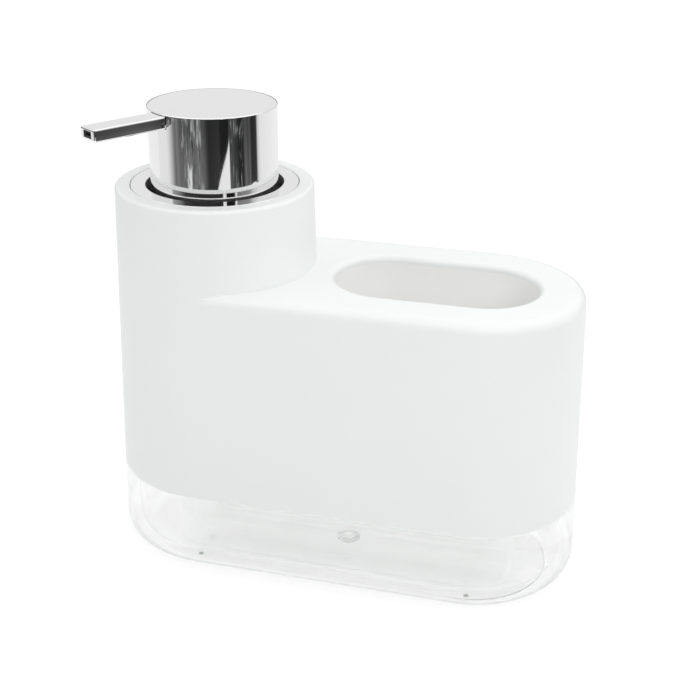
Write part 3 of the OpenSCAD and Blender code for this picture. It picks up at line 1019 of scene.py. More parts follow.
@dataclass
class Sleeve:
    """White outer shell with its tower, deck, opening and threaded neck."""

    body: Body
    thread: Thread
    deck_edge_r: float = 3.4
    deck_steps: int = 14
    rim_edge_r: float = 1.2
    rim_steps: int = 8
    foot_edge: float = 0.08
    bead: float = 0.13
    bead_face: float = 0.06
    bead_h: float = 0.55
    bead_end: float = 0.05
    wall_low: float = 4.0
    lip_r: float = 1.8
    lip_steps: int = 9
    recess_r: float = 26.35
    recess_edge_r: float = 0.25
    ledge_z: float = 120.4
    ledge_bevel: float = 0.3
    neck_r: float = 23.71
    neck_wall: float = 2.2
    neck_low_z: float = 107.4
    neck_edge_r: float = 0.5
    roof_z: float = 118.0
    roof_r: float = 1.0
    roof_steps: int = 4
    edge_steps: int = 3
    face_steps: int = 4
    arc_steps: int = 72

    def build(self) -> bpy.types.Object:
        """Makes the sleeve as one closed skin.

        Returns:
            Its object.
        """
        body, skin = self.body, Skin()
        deck = body.edge(body.deck_h, self.deck_edge_r, self.deck_steps)
        starts = [math.degrees(math.acos(min(1.0, r / body.side_r(z)))) for r, z in deck]
        turns = self._tower_turns(starts)
        outer, inner = (skin.tube(body.ovals(rows)) for rows in self._walls(deck[0][1]))
        skin.bridge(outer[0], inner[0])
        tower = self._tower(skin, turns, dict(zip(starts, [z for _, z in deck])), deck[0][1])
        self._deck(skin, deck, starts, turns, tower[0])
        self._ceiling(skin, turns, tower[-1])
        return skin.build("sleeve")

    def _tower_turns(self, starts: Sequence[float]) -> list[float]:
        """Lays out the tower's columns: where the deck's edge meets it, its face and its left.

        Args:
            starts: Angle at which each row of the deck's edge meets the tower.

        Returns:
            The angle of each column.
        """
        *corner, last = starts
        face = spread(last, HALF - last, self.arc_steps)
        left = spread(HALF, FULL, self.body.end_steps)
        return [*corner, *face, *[HALF - s for s in reversed(corner)], *left[1:-1]]

    def _walls(self, top: float) -> tuple[list[Flat], list[Flat]]:
        """Lays out the walls below the deck's edge, with a fine bead at the foot.

        Args:
            top: Height at which the deck's edge starts.

        Returns:
            Radii and heights of the outer and of the inner face, from the foot up.
        """
        body, low = self.body, self.body.band_h
        foot = (
            (-self.foot_edge, 0.0),
            (self.bead, self.foot_edge),
            (self.bead, self.foot_edge + self.bead_face),
            (0.0, self.bead_h),
            (0.0, self.bead_h + self.bead_end),
        )
        outer = [(body.side_r(low + rise) + out, low + rise) for out, rise in foot]
        outer += [(body.side_r(z), z) for z in spread(low + self.wall_low, top, body.wall_steps)]
        inner = [(body.inner_r(z), z) for z in spread(low, body.ceiling, body.wall_steps)]
        return outer, inner

    def _tower(
        self, skin: Skin, turns: list[float], starts: dict[float, float], wall_top: float
    ) -> list[list[int]]:
        """Adds the tower, its rim, the recess, the neck with its thread and the tower's inside.

        Args:
            skin: The skin that it is added to.
            turns: Angles of its columns.
            starts: Height of the deck's edge at each angle where the edge meets the tower.
            wall_top: Height at which the left side carries on as the body's wall.

        Returns:
            All its rings, from the outer foot to the inner foot.
        """
        body, axis = self.body, (-self.body.half, 0.0)

        def outer_start(turn: float) -> float:
            """Finds where the tower's outer face starts.

            Args:
                turn: A column's angle.

            Returns:
                The height.
            """
            side = min(turn, HALF - turn)
            if turn > HALF:
                return wall_top
            if side >= max(starts):
                return body.deck_h
            return starts[min(starts, key=lambda start: abs(start - side))]

        rim = body.edge(body.tower_h, self.rim_edge_r, self.rim_steps)
        rows = []
        for share in spread(0.0, 1.0, self.face_steps):
            heights = [outer_start(t) * (1.0 - share) + rim[0][1] * share for t in turns]
            rows.append([plan_point(axis, body.side_r(z), t, z) for t, z in zip(turns, heights)])
        recess_edge, bore, edge = self.recess_edge_r, self.neck_r, self.neck_edge_r
        wall, roof_r, roof_low = bore + self.neck_wall, self.roof_r, self.roof_z - self.roof_r
        low, thread_top = self.neck_low_z + edge, self.ledge_z - 2 * self.ledge_bevel
        outline: list[tuple[Radius, float]] = [
            *rim[1:],
            *arc((self.recess_r + recess_edge, body.tower_h - recess_edge), recess_edge,
                 QUARTER, HALF, self.edge_steps),
            (self.recess_r, self.ledge_z),
            (bore + self.ledge_bevel, self.ledge_z),
            (bore, self.ledge_z - self.ledge_bevel),
            *[(self.thread.neck(bore, z), z) for z in self.thread.heights(thread_top, low)],
            *arc((bore + edge, low), edge, HALF, HALF + QUARTER, self.edge_steps),
            *arc((wall - edge, low), edge, -QUARTER, 0.0, self.edge_steps),
            (wall, roof_low),
            *arc((wall + roof_r, roof_low), roof_r, HALF, QUARTER, self.roof_steps)[1:],
            *[(body.inner_r(z), z) for z in spread(self.roof_z, body.ceiling, body.wall_steps)],
        ]
        rows += [[plan_point(axis, radius, t, z) for t in turns] for radius, z in outline]
        return skin.tube(rows)

    def _deck(
        self, skin: Skin, deck: list[Flat], starts: list[float], turns: list[float], foot: list[int]
    ) -> None:
        """Adds the deck's rounded edge, the deck and the opening's lip and wall.

        Args:
            skin: The skin that they are added to.
            deck: Radii and heights of the edge's rows.
            starts: Angle at which each row meets the tower.
            turns: Angles of the tower's columns.
            foot: Numbers of the points at the tower's outer foot.
        """
        body, lip_r, last = self.body, self.lip_r, starts[-1]
        rows = []
        for (radius, height), turn in zip(deck, starts):
            start_x = plan_point((-body.half, 0.0), body.side_r(height), turn, height)[0]
            rows.append(body.right_path(radius, height, start_x, body.half))
        edge = skin.tube(rows, closed=False)[-1]
        face = [i for i, t in zip(foot, turns) if last < t < HALF - last - TINY]
        centre = (body.opening_r + lip_r, body.deck_h - lip_r)
        lip = arc(centre, lip_r, QUARTER, HALF, self.lip_steps)
        hole = skin.tube(body.openings([*lip, (body.opening_r, body.ceiling)]))[0]
        skin.fill([*edge, *reversed(face)], [hole])

    def _ceiling(self, skin: Skin, turns: list[float], foot: list[int]) -> None:
        """Adds the underside of the deck.

        Args:
            skin: The skin that it is added to.
            turns: Angles of the tower's columns.
            foot: Numbers of the points at the tower's inner foot.
        """
        body, z = self.body, self.body.ceiling
        path = skin.ring(body.right_path(body.inner_r(z), z, -body.half, body.half))
        face = [i for i, t in zip(foot, turns) if TINY < t < HALF - TINY]
        skin.fill([*path, *reversed(face)], skin.tube(body.openings([(body.opening_r, z)])))


@dataclass
class ClearBase:
    """Clear tub with its spigot, the seal's groove and the marks of its mould."""

    body: Body
    mould: MouldMarks = MouldMarks()
    edge_r: float = 8.5
    edge_steps: int = 16
    inner_edge_r: float = 6.0
    inner_steps: int = 14
    floor_t: float = 3.0
    rim_edge_r: float = 0.12
    rim_steps: int = 3
    spigot_inset: float = 2.5
    spigot_wall: float = 1.8
    spigot_top: float = 40.0
    spigot_lead: Flat = (0.4, 0.6)
    spigot_bevel: float = 0.3
    groove_t: float = 0.9
    groove_low: float = 32.8
    groove_high: float = 35.2
    row_heights: tuple[float, ...] = (28.0, 20.0, 13.0)
    gate_r: float = 3.4
    gate_bevel: float = 0.15
    gate_columns: int = 48
    nib_r: float = 1.2
    nib_foot: float = 0.2
    nib_edge: float = 0.3
    ejector_bevel: float = 0.1
    ejector_columns: int = 24
    mark_depth: float = 0.4

    def build(self) -> bpy.types.Object:
        """Makes the tub as one closed skin.

        Returns:
            Its object.
        """
        body, skin = self.body, Skin()
        outside, top, bevel = self.spigot_inset, self.spigot_top, self.spigot_bevel
        inside, groove = outside + self.spigot_wall, outside + self.groove_t
        spigot = [
            (outside, body.band_h), (outside, self.groove_low), (groove, self.groove_low),
            (groove, self.groove_high), (outside, self.groove_high),
            (outside, top - self.spigot_lead[1]), (outside + self.spigot_lead[0], top),
            (inside - bevel, top), (inside, top - bevel), *[(inside, z) for z in self.row_heights],
        ]
        foot = body.round_centre(self.edge_r, self.edge_r)
        floor = body.round_centre(self.floor_t + self.inner_edge_r, self.inner_edge_r, inside)
        rings = skin.tube(body.ovals([
            *arc(foot, self.edge_r, -QUARTER, body.taper, self.edge_steps),
            *body.edge(body.band_h, self.rim_edge_r, self.rim_steps),
            *[(body.side_r(z) - inset, z) for inset, z in spigot],
            *arc(floor, self.inner_edge_r, body.taper, -QUARTER, self.inner_steps),
        ]))
        skin.fill(rings[-1])
        skin.fill(rings[0], self._marks(skin))
        return skin.build("clear_tub")

    def _marks(self, skin: Skin) -> list[list[int]]:
        """Adds the gate's dimple with its nib and the ejector marks.

        Args:
            skin: The skin that they are added to.

        Returns:
            The edge of each.
        """
        mould, depth, nib = self.mould, self.mark_depth, self.nib_r
        gate = [
            (self.gate_r, 0.0), (self.gate_r - self.gate_bevel, depth),
            (nib + self.nib_foot, depth), (nib, depth / 2), (nib - self.nib_edge, depth / 2),
        ]
        pin = [(mould.ejector_r, 0.0), (mould.ejector_r - self.ejector_bevel, depth)]
        marks = [(Lathe((mould.middle_x, 0.0), self.gate_columns), gate)]
        for x in (mould.middle_x - mould.ejector_x, mould.middle_x + mould.ejector_x):
            for y in (-mould.ejector_y, mould.ejector_y):
                marks.append((Lathe((x, y), self.ejector_columns), pin))
        edges = []
        for lathe, outline in marks:
            rings = skin.tube(lathe.rows(outline))
            skin.cap(rings[-1], (*lathe.axis, outline[-1][1]))
            edges.append(rings[0])
        return edges


@dataclass
class SpongePocket:
    """White cup under the deck's opening."""

    body: Body
    wall: float = 1.6
    flange_w: float = 2.6
    flange_bevel: float = 0.4
    fillet: float = 0.6
    lean: float = 0.02
    low_h: float = 34.0
    draft: float = 0.8
    inner_r: float = 3.0
    edge_steps: int = 8

    def build(self) -> bpy.types.Object:
        """Makes the cup as one closed skin.

        Returns:
            Its object.
        """
        body, skin, bevel = self.body, Skin(), self.flange_bevel
        radius, top, under = body.opening_r, body.ceiling, body.ceiling - self.wall
        outer, flange = radius + self.wall, radius + self.wall + self.flange_w
        middle, outer_r = radius - self.draft - self.inner_r, self.inner_r + self.wall
        inner_low = self.low_h + self.wall + self.inner_r
        inside = arc((middle, inner_low), self.inner_r, -QUARTER, 0.0, self.edge_steps)
        outside = arc((middle, self.low_h + outer_r), outer_r, -QUARTER, 0.0, self.edge_steps)
        rings = skin.tube(body.openings([
            *inside, (radius, top), (flange, top), (flange, under + bevel), (flange - bevel, under),
            (outer + self.fillet, under), (outer - self.lean, under - self.fillet),
            *reversed(outside),
        ]))
        skin.fill(rings[0])
        skin.fill(rings[-1])
        return skin.build("pocket_cup")


@dataclass
class PumpCollar:
    """Chrome flange flush with the rim, the well for the head and the threaded skirt."""

    thread: Thread
    axis_x: float = -END_X
    flange_r: float = 26.25
    flange_edge_r: float = 0.35
    flange_low: float = 121.4
    flange_low_r: float = 0.15
    well_r: float = 21.45
    well_edge_r: float = 0.4
    well_foot_r: float = 0.9
    skirt_r: float = 23.65
    skirt_fillet: float = 0.4
    thread_gap: float = 0.7
    top: float = 123.0
    floor_z: float = 106.8
    low: float = 104.8
    hole_r: float = 8.46
    hole_bevel: float = 0.3
    foot_w: float = 0.5
    foot_h: float = 0.8
    foot_steps: int = 6
    edge_steps: tuple[int, int, int] = (2, 3, 5)
    columns: int = 240

    def build(self) -> bpy.types.Object:
        """Makes the collar as one turned skin.

        Returns:
            Its object.
        """
        few, some, many = self.edge_steps
        edge, under, well, foot = (
            self.flange_edge_r, self.flange_low_r, self.well_edge_r, self.well_foot_r)
        skirt, fillet, hole, bevel = self.skirt_r, self.skirt_fillet, self.hole_r, self.hole_bevel
        foot_top, thread_top = self.low + self.foot_h, self.flange_low - self.thread_gap
        threaded = self.thread.heights(thread_top, foot_top)
        outline: list[tuple[Radius, float]] = [
            *arc((self.flange_r - edge, self.top - edge), edge, QUARTER, 0.0, many),
            *arc((self.flange_r - under, self.flange_low + under), under, 0.0, -QUARTER, few),
            (skirt + fillet, self.flange_low), (skirt, self.flange_low - fillet),
            *[(self.thread.skirt(skirt, z), z) for z in threaded],
            *[(self._foot(z), z) for z in spread(foot_top, self.low, self.foot_steps)[1:]],
            (hole + bevel, self.low), (hole, self.low + bevel),
            *arc((hole + bevel, self.floor_z - bevel), bevel, HALF, QUARTER, some),
            *arc((self.well_r - foot, self.floor_z + foot), foot, -QUARTER, 0.0, many),
            *arc((self.well_r + well, self.top - well), well, HALF, QUARTER, many),
        ]
        skin = Skin()
        skin.tube(Lathe((self.axis_x, 0.0), self.columns).rows(outline), looped=True)
        return skin.build("collar_flange")

    def _foot(self, height: float) -> Turned:
        """Lets the groove run into the skirt's bevelled foot.

        Args:
            height: A height in the foot.

        Returns:
            What gives the radius there.
        """
        thread = self.thread.skirt(self.skirt_r, height)
        bevel = self.skirt_r - self.foot_w * (1.0 - (height - self.low) / self.foot_h)
        return lambda turn: min(thread(turn), bevel)


@dataclass(frozen=True)
class Section:
    """A cross-section of the spout: an upright rectangle with round corners."""

    width: float
    low: float
    high: float
    corner: float
    corner_steps: int = 3

    def inset(self, by: float, corner: float | None = None) -> "Section":
        """The section with its sides moved in, and with other corners where they are given."""
        corner = self.corner if corner is None else corner
        return Section(self.width - 2 * by, self.low + by, self.high - by, corner)

    def points(self) -> list[Flat]:
        """Its outline, across the spout and up.

        Returns:
            The points, from the middle of one side round by the top.
        """
        side, radius, steps = self.width / 2 - self.corner, self.corner, self.corner_steps
        low, high = self.low + radius, self.high - radius
        centres = ((side, high), (-side, high), (-side, low), (side, low))
        return [point for i, centre in enumerate(centres)
                for point in arc(centre, radius, QUARTER * i, QUARTER * (i + 1), steps)]


@dataclass
class PumpHead:
    """Chrome head: the shell, the spout and the insert in its tip."""

    axis_x: float = -END_X
    shell_r: float = 19.9
    shell_wall: float = 1.5
    crown_w: float = 1.3
    crown_h: float = 0.4
    crown_steps: int = 14
    skirt_z: float = 119.0
    skirt_gap: float = 0.5
    skirt_outer_r: float = 0.4
    skirt_inner_r: float = 0.3
    plate_r: float = 0.8
    top: float = 147.8
    face_top: float = 6.0
    face_steps: int = 3
    edge_steps: tuple[int, int] = (3, 4)
    columns: int = 288
    slot_depth: float = 2.0
    spout_turn: float = 236.7
    spout_reach: float = 43.7
    spout_w: float = 7.5
    spout_low: float = 143.4
    spout_top: float = 147.2
    spout_start: float = 18.5
    spout_rows: Flat = (24.0, 34.0)
    spout_edge_r: float = 0.55
    spout_edge_steps: int = 5
    tongue_start: float = 6.7
    tongue_w: float = 6.3
    tongue_top: float = 146.1
    tongue_corner: float = 0.3
    channel_w: float = 5.1
    channel: Flat = (144.0, 145.5)
    channel_corner: float = 0.15
    tip_w: float = 3.9
    tip: Flat = (144.25, 146.35)
    tip_depth: float = 14.0
    tip_bevel: float = 0.1
    tip_corner: float = 0.2
    insert_wall: float = 0.5
    insert_sink: float = 0.3
    insert_corners: Flat = (0.1, 0.05)
    insert_bevels: Flat = (0.08, 0.05)
    fit: float = 0.1

    def build_shell(self) -> bpy.types.Object:
        """Makes the shell, with the slot that the spout passes through.

        Returns:
            Its object.
        """
        skin, r, low, (few, some) = Skin(), self.shell_r, self.skirt_z, self.edge_steps
        inner, plate = r - self.shell_wall, self.top - self.shell_wall
        outer_r, inner_r, plate_r = self.skirt_outer_r, self.skirt_inner_r, self.plate_r
        crown = [(r - self.crown_w * (1.0 - x), self.top - self.crown_h * (1.0 - z))
                 for x, z in arc((0.0, 0.0), 1.0, QUARTER, 0.0, self.crown_steps)]
        face = spread(self.top - self.face_top, low + self.skirt_gap, self.face_steps)
        rings = skin.tube(Lathe((self.axis_x, 0.0), self.columns).rows([
            *crown,
            *[(r, z) for z in face],
            *arc((r - outer_r, low + outer_r), outer_r, 0.0, -QUARTER, some),
            *arc((inner + inner_r, low + inner_r), inner_r, -QUARTER, -HALF, few),
            (inner, plate - plate_r),
            *arc((inner - plate_r, plate - plate_r), plate_r, 0.0, QUARTER, some)[1:],
        ]))
        skin.cap(rings[0], (self.axis_x, 0.0, self.top))
        skin.cap(rings[-1], (self.axis_x, 0.0, plate))
        shell = skin.build("head_shell_chrome")
        cut(shell, self._slot_tool())
        return shell

    def _slot_tool(self) -> bpy.types.Object:
        """Makes the bar that is cut out of the shell.

        Returns:
            Its object.
        """
        skin, half = Skin(), (self.spout_w + 2 * self.fit) / 2
        low, high = self.spout_low - self.fit, self.spout_top + self.fit
        corners = ((-half, low), (half, low), (half, high), (-half, high))
        skin.cap_ends(skin.tube([self._place(along, across, z) for across, z in corners]
                                for along in (self.shell_r - self.slot_depth, self.spout_reach)))
        return skin.build("slot_tool")

    def build_spout(self) -> bpy.types.Object:
        """Makes the spout with its tongue, its channel and the opening in its tip.

        Returns:
            Its object.
        """
        start, reach, edge = self.spout_start, self.spout_reach, self.spout_edge_r
        tongue = Section(self.tongue_w, self.spout_low, self.tongue_top, self.tongue_corner)
        bar = Section(self.spout_w, self.spout_low, self.spout_top, edge)
        tip = Section(self.tip_w, *self.tip, self.channel_corner)
        channel = Section(self.channel_w, *self.channel, self.channel_corner)
        end = [(reach - edge + x, bar.inset(edge - z))
               for z, x in arc((0.0, 0.0), edge, 0.0, QUARTER, self.spout_edge_steps)[1:]]
        return self._loft([
            (self.tongue_start, tongue), (start, tongue), (start, bar),
            *[(s, bar) for s in self.spout_rows], (reach - edge, bar), *end,
            (reach, tip.inset(-self.tip_bevel, self.tip_corner)), (reach - self.tip_bevel, tip),
            (reach - self.tip_depth, tip), (reach - self.tip_depth, channel),
            (self.tongue_start, channel),
        ]).build("spout_bar", BAR_SHARP)

    def build_insert(self) -> bpy.types.Object:
        """Makes the dark insert that lines the tip.

        Returns:
            Its object.
        """
        (corner, hole_corner), (bevel, hole_bevel) = self.insert_corners, self.insert_bevels
        start, end = self.spout_reach - self.tip_depth, self.spout_reach - self.insert_sink
        block = Section(self.tip_w, *self.tip, corner).inset(self.fit)
        hole = block.inset(self.insert_wall, hole_corner)
        return self._loft([
            (start, block), (end - bevel, block), (end, block.inset(bevel)),
            (end, hole.inset(-hole_bevel)), (end - hole_bevel, hole), (start, hole),
        ]).build("tip_insert", BAR_SHARP)

    def _place(self, along: float, across: float, height: float) -> Point:
        """Finds a point from its place in the spout.

        Args:
            along: Its distance from the pump's axis along the spout.
            across: The same across it.
            height: Its height.

        Returns:
            The point.
        """
        turn = math.radians(self.spout_turn)
        x = self.axis_x + along * math.cos(turn) - across * math.sin(turn)
        return (x, along * math.sin(turn) + across * math.cos(turn), height)

    def _loft(self, sections: Iterable[tuple[float, Section]]) -> Skin:
        """Makes a skin through sections, with the last joined to the first.

        Args:
            sections: Each section's distance from the pump's axis, and the section.

        Returns:
            The skin.
        """
        skin = Skin()
        skin.tube(([self._place(along, across, z) for across, z in section.points()]
                   for along, section in sections), looped=True)
        return skin


@dataclass
class ReturnSpring:
    """Wire spring in the housing."""

    axis_x: float = -END_X
    seat_z: float = 63.3
    top_z: float = 99.7
    end_gap: float = 0.1
    mean_r: float = 4.7
    wire_d: float = 0.9
    turns: float = 9.0
    rings_a_turn: int = 40
    wire_sides: int = 12
    stroke: float = 11.0

    def build(self) -> bpy.types.Object:
        """Makes the spring as one tube along its helix.

        Returns:
            Its object.
        """
        skin, wire_r, count = Skin(), self.wire_d / 2, round(self.turns * self.rings_a_turn)
        low, high = self.seat_z + wire_r + self.end_gap, self.top_z - wire_r - self.end_gap
        rows = []
        for i, height in enumerate(spread(low, high, count)):
            section = arc((self.mean_r, height), wire_r, 0.0, FULL, self.wire_sides)[:-1]
            turn = FULL * i / self.rings_a_turn
            rows.append([plan_point((self.axis_x, 0.0), r, turn, z) for r, z in section])
        skin.cap_ends(skin.tube(rows))
        return skin.build("spring_wire")

    def squeeze(self, item: bpy.types.Object) -> None:
        """Gives the spring's object a mesh of its own.

        Args:
            item: The spring's object.
        """
        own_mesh(item)


@dataclass
class PumpInside:
    """Construction nodes that show as they are, with the finish of each."""

    finishes: dict[str, Finish] = field(default_factory=lambda: {
        "base_seal": RUBBER, "neck_gasket": RUBBER, "stem_seal": RUBBER,
        "pump_housing": NATURAL, "housing_cap": NATURAL, "stem": NATURAL, "piston": NATURAL,
        "valve_rod": NATURAL, "head_core": NATURAL, "dip_tube": TUBE,
        "inlet_ball": STEEL, "outlet_ball": STEEL,
    })

    def dress(self) -> None:
        """Gives each node its material."""
        for name, finish in self.finishes.items():
            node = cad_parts[name]
            for place in node.material_slots:
                place.material = finish.material()
            log.info("%s: construction node in %s", name, finish.name)


# ------------------------------------------------------------------------------------------ studio


@dataclass
class Camera:
    """Camera at the photograph's angle, in millimetres and degrees."""

    azimuth: float = 14.779
    elevation: float = 23.505
    roll: float = 0.374
    distance: float = 398.72
    target: Point = (0.077, 1.612, 78.526)
    lens: float = 64.14
    sensor: float = 36.0
    shift: Flat = (0.0033, -0.037)
    clip_m: Flat = (0.01, 50.0)

    def build(self) -> None:
        """Makes the camera and gives it to the scene."""
        az, el, roll = (math.radians(a) for a in (self.azimuth, self.elevation, self.roll))
        back = Vector((math.sin(az) * math.cos(el), -math.cos(az) * math.cos(el), math.sin(el)))
        right = Vector((math.cos(az), math.sin(az), 0.0))
        up = back.cross(right)
        right, up = (right * math.cos(roll) + up * math.sin(roll),
                     up * math.cos(roll) - right * math.sin(roll))
        data = bpy.data.cameras.new("camera")
        data.lens, data.sensor_width, data.sensor_fit = self.lens, self.sensor, "HORIZONTAL"
        data.shift_x, data.shift_y = self.shift
        data.clip_start, data.clip_end = self.clip_m
        item = add_object("camera", data)
        place = (Vector(self.target) + back * self.distance) * MM
        turned = Matrix((right, up, back)).transposed().to_4x4()
        item.matrix_world = Matrix.Translation(place) @ turned
        bpy.context.scene.camera = item


@dataclass(frozen=True)
class MirroredRoom:
    """What metal mirrors: a dark room, the table in it and the things that stand round it.

    Angles are in degrees about the pump's axis from +X towards +Y, and distances in metres from it.
    """

    # Brightness of what lies on the table, by angle
    table: tuple[Flat, ...] = (
        (-180.0, 0.86), (-157.0, 0.84), (-152.0, 0.70), (-147.5, 0.52), (-143.0, 0.30),
        (-139.0, 0.15), (-134.0, 0.22), (-130.0, 0.15), (-122.0, 0.15), (-114.0, 0.20),
        (-103.0, 0.18), (-92.0, 0.18), (-85.0, 0.12), (-81.0, 0.06), (-77.5, 0.03),
        (-60.0, 0.045), (-57.0, 0.015), (-42.2, 0.012), (-41.2, 0.085), (-34.5, 0.085),
        (-32.5, 0.05), (-27.5, 0.05), (-25.5, 0.02), (-17.5, 0.02), (-13.0, 0.15),
        (-7.5, 0.085), (-3.5, 0.15), (-1.0, 0.03), (10.0, 0.045), (13.5, 0.66),
        (20.0, 0.87), (60.0, 0.94),
    )
    # The same for what stands above the table's height
    walls: tuple[Flat, ...] = (
        (-180.0, 0.86), (-153.0, 0.86), (-149.0, 0.35), (-144.0, 0.33), (-134.0, 0.20),
        (-124.0, 0.05), (-100.0, 0.03), (-55.8, 0.03), (-55.0, 0.90), (-50.4, 0.90),
        (-49.6, 0.01), (-34.0, 0.01), (-33.4, 0.90), (-30.4, 0.90), (-29.8, 0.22),
        (-6.0, 0.30), (2.0, 0.62), (14.0, 0.85), (60.0, 0.88), (85.0, 0.86),
    )
    front: tuple[Flat, Flat] = ((-160.0, -150.0), (20.0, 40.0))
    back_colour: Colour = grey(0.12)
    back_far: Flat = (0.7, 0.9)
    skirting: Flat = (0.10, 0.17)
    ceiling: float = 1.25
    ceiling_from: Flat = (0.6, 0.75)
    zenith: float = 0.86
    zenith_from: Flat = (0.88, 0.96)
    flame_angle: float = 7.0
    flames_a_metre: float = 11.0
    flame_detail: float = 5.0
    flame_roughness: float = 0.6
    flame_distortion: float = 1.2
    flames_left: tuple[Flat, Flat] = ((-130.0, -124.0), (-97.0, -84.0))
    flames_right: tuple[Flat, Flat] = ((-42.0, -39.0), (-21.0, -15.0))
    right_share: float = 0.45
    light: Flat = (0.52, 0.62)
    light_share: float = 0.95
    light_colour: Colour = (0.8, 0.81, 0.81)
    dark: Flat = (0.36, 0.46)
    dark_share: float = 0.85
    dark_colour: Colour = (0.015, 0.028, 0.024)
    dim: tuple[Flat, Flat] = ((-140.0, -120.0), (8.0, 14.0))
    dim_far: Flat = (0.42, 0.60)
    dim_share: float = 0.45
    dim_colour: Colour = (0.015, 0.017, 0.016)
    wedge_right: Flat = (-42.6, -41.8)
    wedge_end: float = -42.0
    wedge_w: float = 26.0
    wedge_far: Flat = (0.38, 0.56)
    wedge_blur: float = 0.7
    wedge_colour: Colour = grey(0.88)

    def angle(self, tree: ShaderTree, x: Wire, y: Wire) -> Wire:
        """Angle of a direction about the upright axis, in degrees."""
        return tree.add("ShaderNodeMath", {"operation": "ARCTAN2"}, {0: y, 1: x}) * (HALF / math.pi)

    def behind(self, angle: Wire) -> Wire:
        """A mask of the room's back, where nothing stands."""
        return 1.0 - angle.band(*self.front)

    def on_walls(self, tree: ShaderTree, angle: Wire, height: Wire) -> Wire:
        """Colours the walls and the ceiling.

        Args:
            tree: The shader's tree.
            angle: A direction's angle.
            height: Its upward part, from 0 to 1.

        Returns:
            The colour in that direction.
        """
        low = self.behind(angle) * height.fall(*self.skirting)
        colour = tree.mix(low, self._by_angle(tree, angle, self.walls), self.back_colour)
        colour = tree.mix(height.step(*self.ceiling_from), colour, grey(self.ceiling))
        return tree.mix(height.step(*self.zenith_from), colour, grey(self.zenith))

    def on_table(self, tree: ShaderTree, angle: Wire, far: Wire) -> Wire:
        """Colours what lies on and round the table.

        Args:
            tree: The shader's tree.
            angle: Angle of the place.
            far: Its distance from the pump.

        Returns:
            The colour at that place.
        """
        colour = self._by_angle(tree, angle, self.table)
        across = {"X": angle / self.flame_angle, "Y": far * self.flames_a_metre}
        flames = tree.add("ShaderNodeTexNoise", inputs={
            "Vector": tree.add("ShaderNodeCombineXYZ", inputs=across), "Scale": 1.0,
            "Detail": self.flame_detail, "Roughness": self.flame_roughness,
            "Distortion": self.flame_distortion})
        right = self.right_share * angle.band(*self.flames_right)
        share = angle.band(*self.flames_left) + right
        light = flames.step(*self.light) * share * self.light_share
        colour = tree.mix(light, colour, self.light_colour)
        dark = flames.fall(*self.dark) * share * self.dark_share
        colour = tree.mix(dark, colour, self.dark_colour)
        dim = far.step(*self.dim_far) * self.dim_share * angle.band(*self.dim)
        colour = tree.mix(dim, colour, self.dim_colour)
        left = self.wedge_end - self.wedge_w * far.fall(*self.wedge_far)
        wedge = angle.step(left - self.wedge_blur, left + self.wedge_blur)
        colour = tree.mix(wedge * angle.fall(*self.wedge_right), colour, self.wedge_colour)
        return tree.mix(self.behind(angle) * far.step(*self.back_far), colour, self.back_colour)

    def _by_angle(self, tree: ShaderTree, angle: Wire, levels: Sequence[Flat]) -> Wire:
        """Brightness at an angle, from angles and the brightness at each."""
        stops = [((turn + HALF) / FULL, grey(level)) for turn, level in levels]
        return tree.add("ShaderNodeValToRGB", {"stops": stops}, {"Fac": (angle + HALF) / FULL})


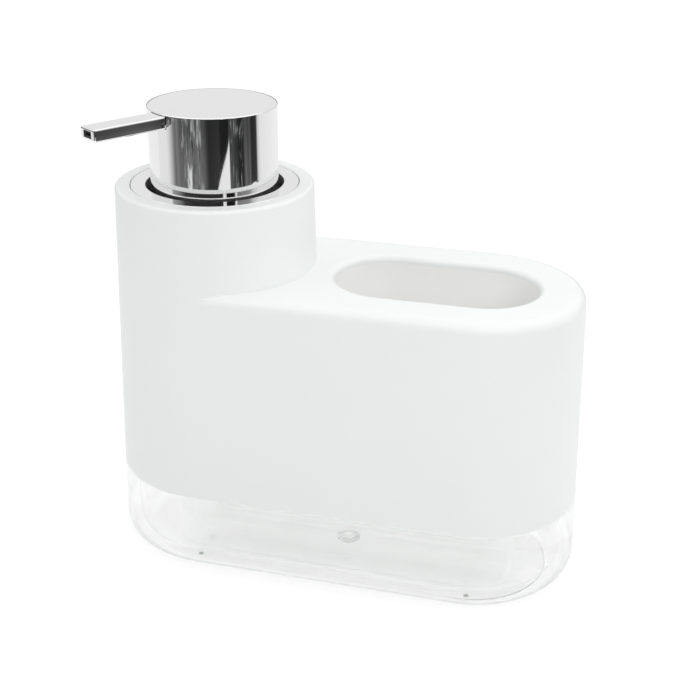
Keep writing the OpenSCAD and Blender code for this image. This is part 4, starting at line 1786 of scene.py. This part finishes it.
@dataclass
class Studio:
    """White floor and sky, a soft lamp above, and the dark room that metal mirrors."""

    room: MirroredRoom = MirroredRoom()
    floor_half: float = 4.0
    floor_drop: float = 0.1
    floor_colour: Colour = grey(0.72)
    floor_white: float = 1.37
    floor_through: float = 1.0
    shadow_lift: float = 0.56
    clear_lift: float = 0.96
    paper_edge: Flat = (0.30, 0.35)
    sky_low: float = 1.12
    sky_high: float = 0.92
    front_dim: float = 0.95
    front_edge: Flat = (0.41, 0.775)
    front_way: Flat = (0.38, -0.925)
    lamp_power: float = 6.5
    lamp_size: float = 0.9
    lamp_place: Point = (0.512, -0.887, 0.800)
    pump: Point = (-END_X * MM, 0.0, 0.0)

    def build(self) -> None:
        """Makes the floor, the world and the lamp, and keeps colours as they are written."""
        bpy.context.scene.view_settings.view_transform = "Standard"
        self._floor()
        self._world()
        self._lamp()

    def _floor(self) -> None:
        """Makes the floor: white to the camera apart from the shadow, and the table to metal."""
        half, low = self.floor_half, -self.floor_drop * MM
        corners = [(-half, -half, low), (half, -half, low), (half, half, low), (-half, half, low)]
        mesh = bpy.data.meshes.new("floor")
        mesh.from_pydata(corners, [], [(0, 1, 2, 3)])
        item = add_object("floor", mesh)
        material = bpy.data.materials.new("floor_paper")
        tree = ShaderTree(material)
        camera, glossy, through = self._rays(tree)
        diffuse = tree.add("ShaderNodeBsdfDiffuse", inputs={"Color": (*self.floor_colour, 1.0)})
        tone = tree.mix(through, grey(self.floor_white), grey(self.floor_through))
        white = tree.add("ShaderNodeEmission", inputs={"Color": tone})
        lift = (self.shadow_lift * camera.at_least(glossy)).at_least(self.clear_lift * through)
        paper = tree.add("ShaderNodeMixShader", inputs={0: lift, 1: diffuse, 2: white})
        offset = tree.add(
            "ShaderNodeVectorMath", {"operation": "SUBTRACT"}, {0: tree.place(), 1: self.pump})
        far = tree.add("ShaderNodeVectorMath", {"operation": "LENGTH"}, {0: offset}, output="Value")
        x, y, _ = tree.parts(offset)
        table = self.room.on_table(tree, self.room.angle(tree, x, y), far)
        table = tree.add("ShaderNodeEmission", inputs={"Color": table})
        beyond = far.step(*self.paper_edge) * glossy
        tree.finish(tree.add("ShaderNodeMixShader", inputs={0: beyond, 1: paper, 2: table}))
        mesh.materials.append(material)

    def _world(self) -> None:
        """Makes the sky: white and dim low on the camera's side, and the room to metal."""
        world = bpy.data.worlds.new("studio")
        bpy.context.scene.world = world
        tree = ShaderTree(world)
        camera, glossy, through = self._rays(tree)
        x, y, height = tree.parts(tree.add("ShaderNodeTexCoord", output="Generated"))
        top = tree.mix(height, grey(self.sky_low), grey(self.sky_high))
        front = (x * self.front_way[0] + y * self.front_way[1]).step(*self.front_edge)
        dim = tree.mix(front, grey(1.0), grey(1.0 - self.front_dim))
        soft = tree.add("ShaderNodeVectorMath", {"operation": "MULTIPLY"}, {0: top, 1: dim})
        mirrored = self.room.on_walls(tree, self.room.angle(tree, x, y), height)
        colour = tree.mix(glossy, soft, mirrored)
        colour = tree.mix(camera.at_least(through), colour, grey(1.0))
        light = tree.add("ShaderNodeBackground", inputs={"Color": colour})
        tree.finish(light, "ShaderNodeOutputWorld")

    def _rays(self, tree: ShaderTree) -> tuple[Wire, Wire, Wire]:
        """Tells what looks at the floor or the sky.

        Args:
            tree: The shader's tree.

        Returns:
            Masks of the camera, of reflections and of what is seen through a clear piece.
        """
        outputs = tree.add("ShaderNodeLightPath").socket.node.outputs
        camera, glossy, through = (
            Wire(tree, outputs[f"Is {kind} Ray"]) for kind in ("Camera", "Glossy", "Transmission"))
        return camera, glossy, through

    def _lamp(self) -> None:
        """Makes one large soft lamp above the front right."""
        data = bpy.data.lights.new("top_light", "AREA")
        data.shape, data.size, data.energy = "DISK", self.lamp_size, self.lamp_power
        item = add_object("top_light", data)
        item.visible_glossy = False
        item.location = self.lamp_place
        item.rotation_euler = Vector(self.lamp_place).to_track_quat("Z", "Y").to_euler()


def main() -> None:
    """Builds every sub-assembly in order, then the studio."""
    logging.basicConfig(level=logging.INFO, format="%(name)s: %(message)s", stream=sys.stdout)
    body, thread = Body(), Thread()
    dress(Sleeve(body, thread).build(), WHITE, Group.CADDY, "body_sleeve")
    dress(ClearBase(body).build(), CLEAR, Group.CADDY, "clear_base")
    dress(SpongePocket(body).build(), POCKET_LIT_WHITE, Group.CADDY, "sponge_pocket")
    dress(PumpCollar(thread).build(), COLLAR_CHROME, Group.COLLAR, "pump_collar")
    head = PumpHead()
    dress(head.build_shell(), CHROME, Group.HEAD, "head_shell")
    dress(head.build_spout(), CHROME, Group.HEAD, "spout")
    dress(head.build_insert(), DARK, Group.HEAD, "spout_insert")
    spring = ReturnSpring()
    wire = dress(spring.build(), STEEL, Group.PUMP_UNIT, "return_spring")
    spring.squeeze(wire)
    PumpInside().dress()
    Studio().build()
    Camera().build()


if __name__ == "__main__":
    main()
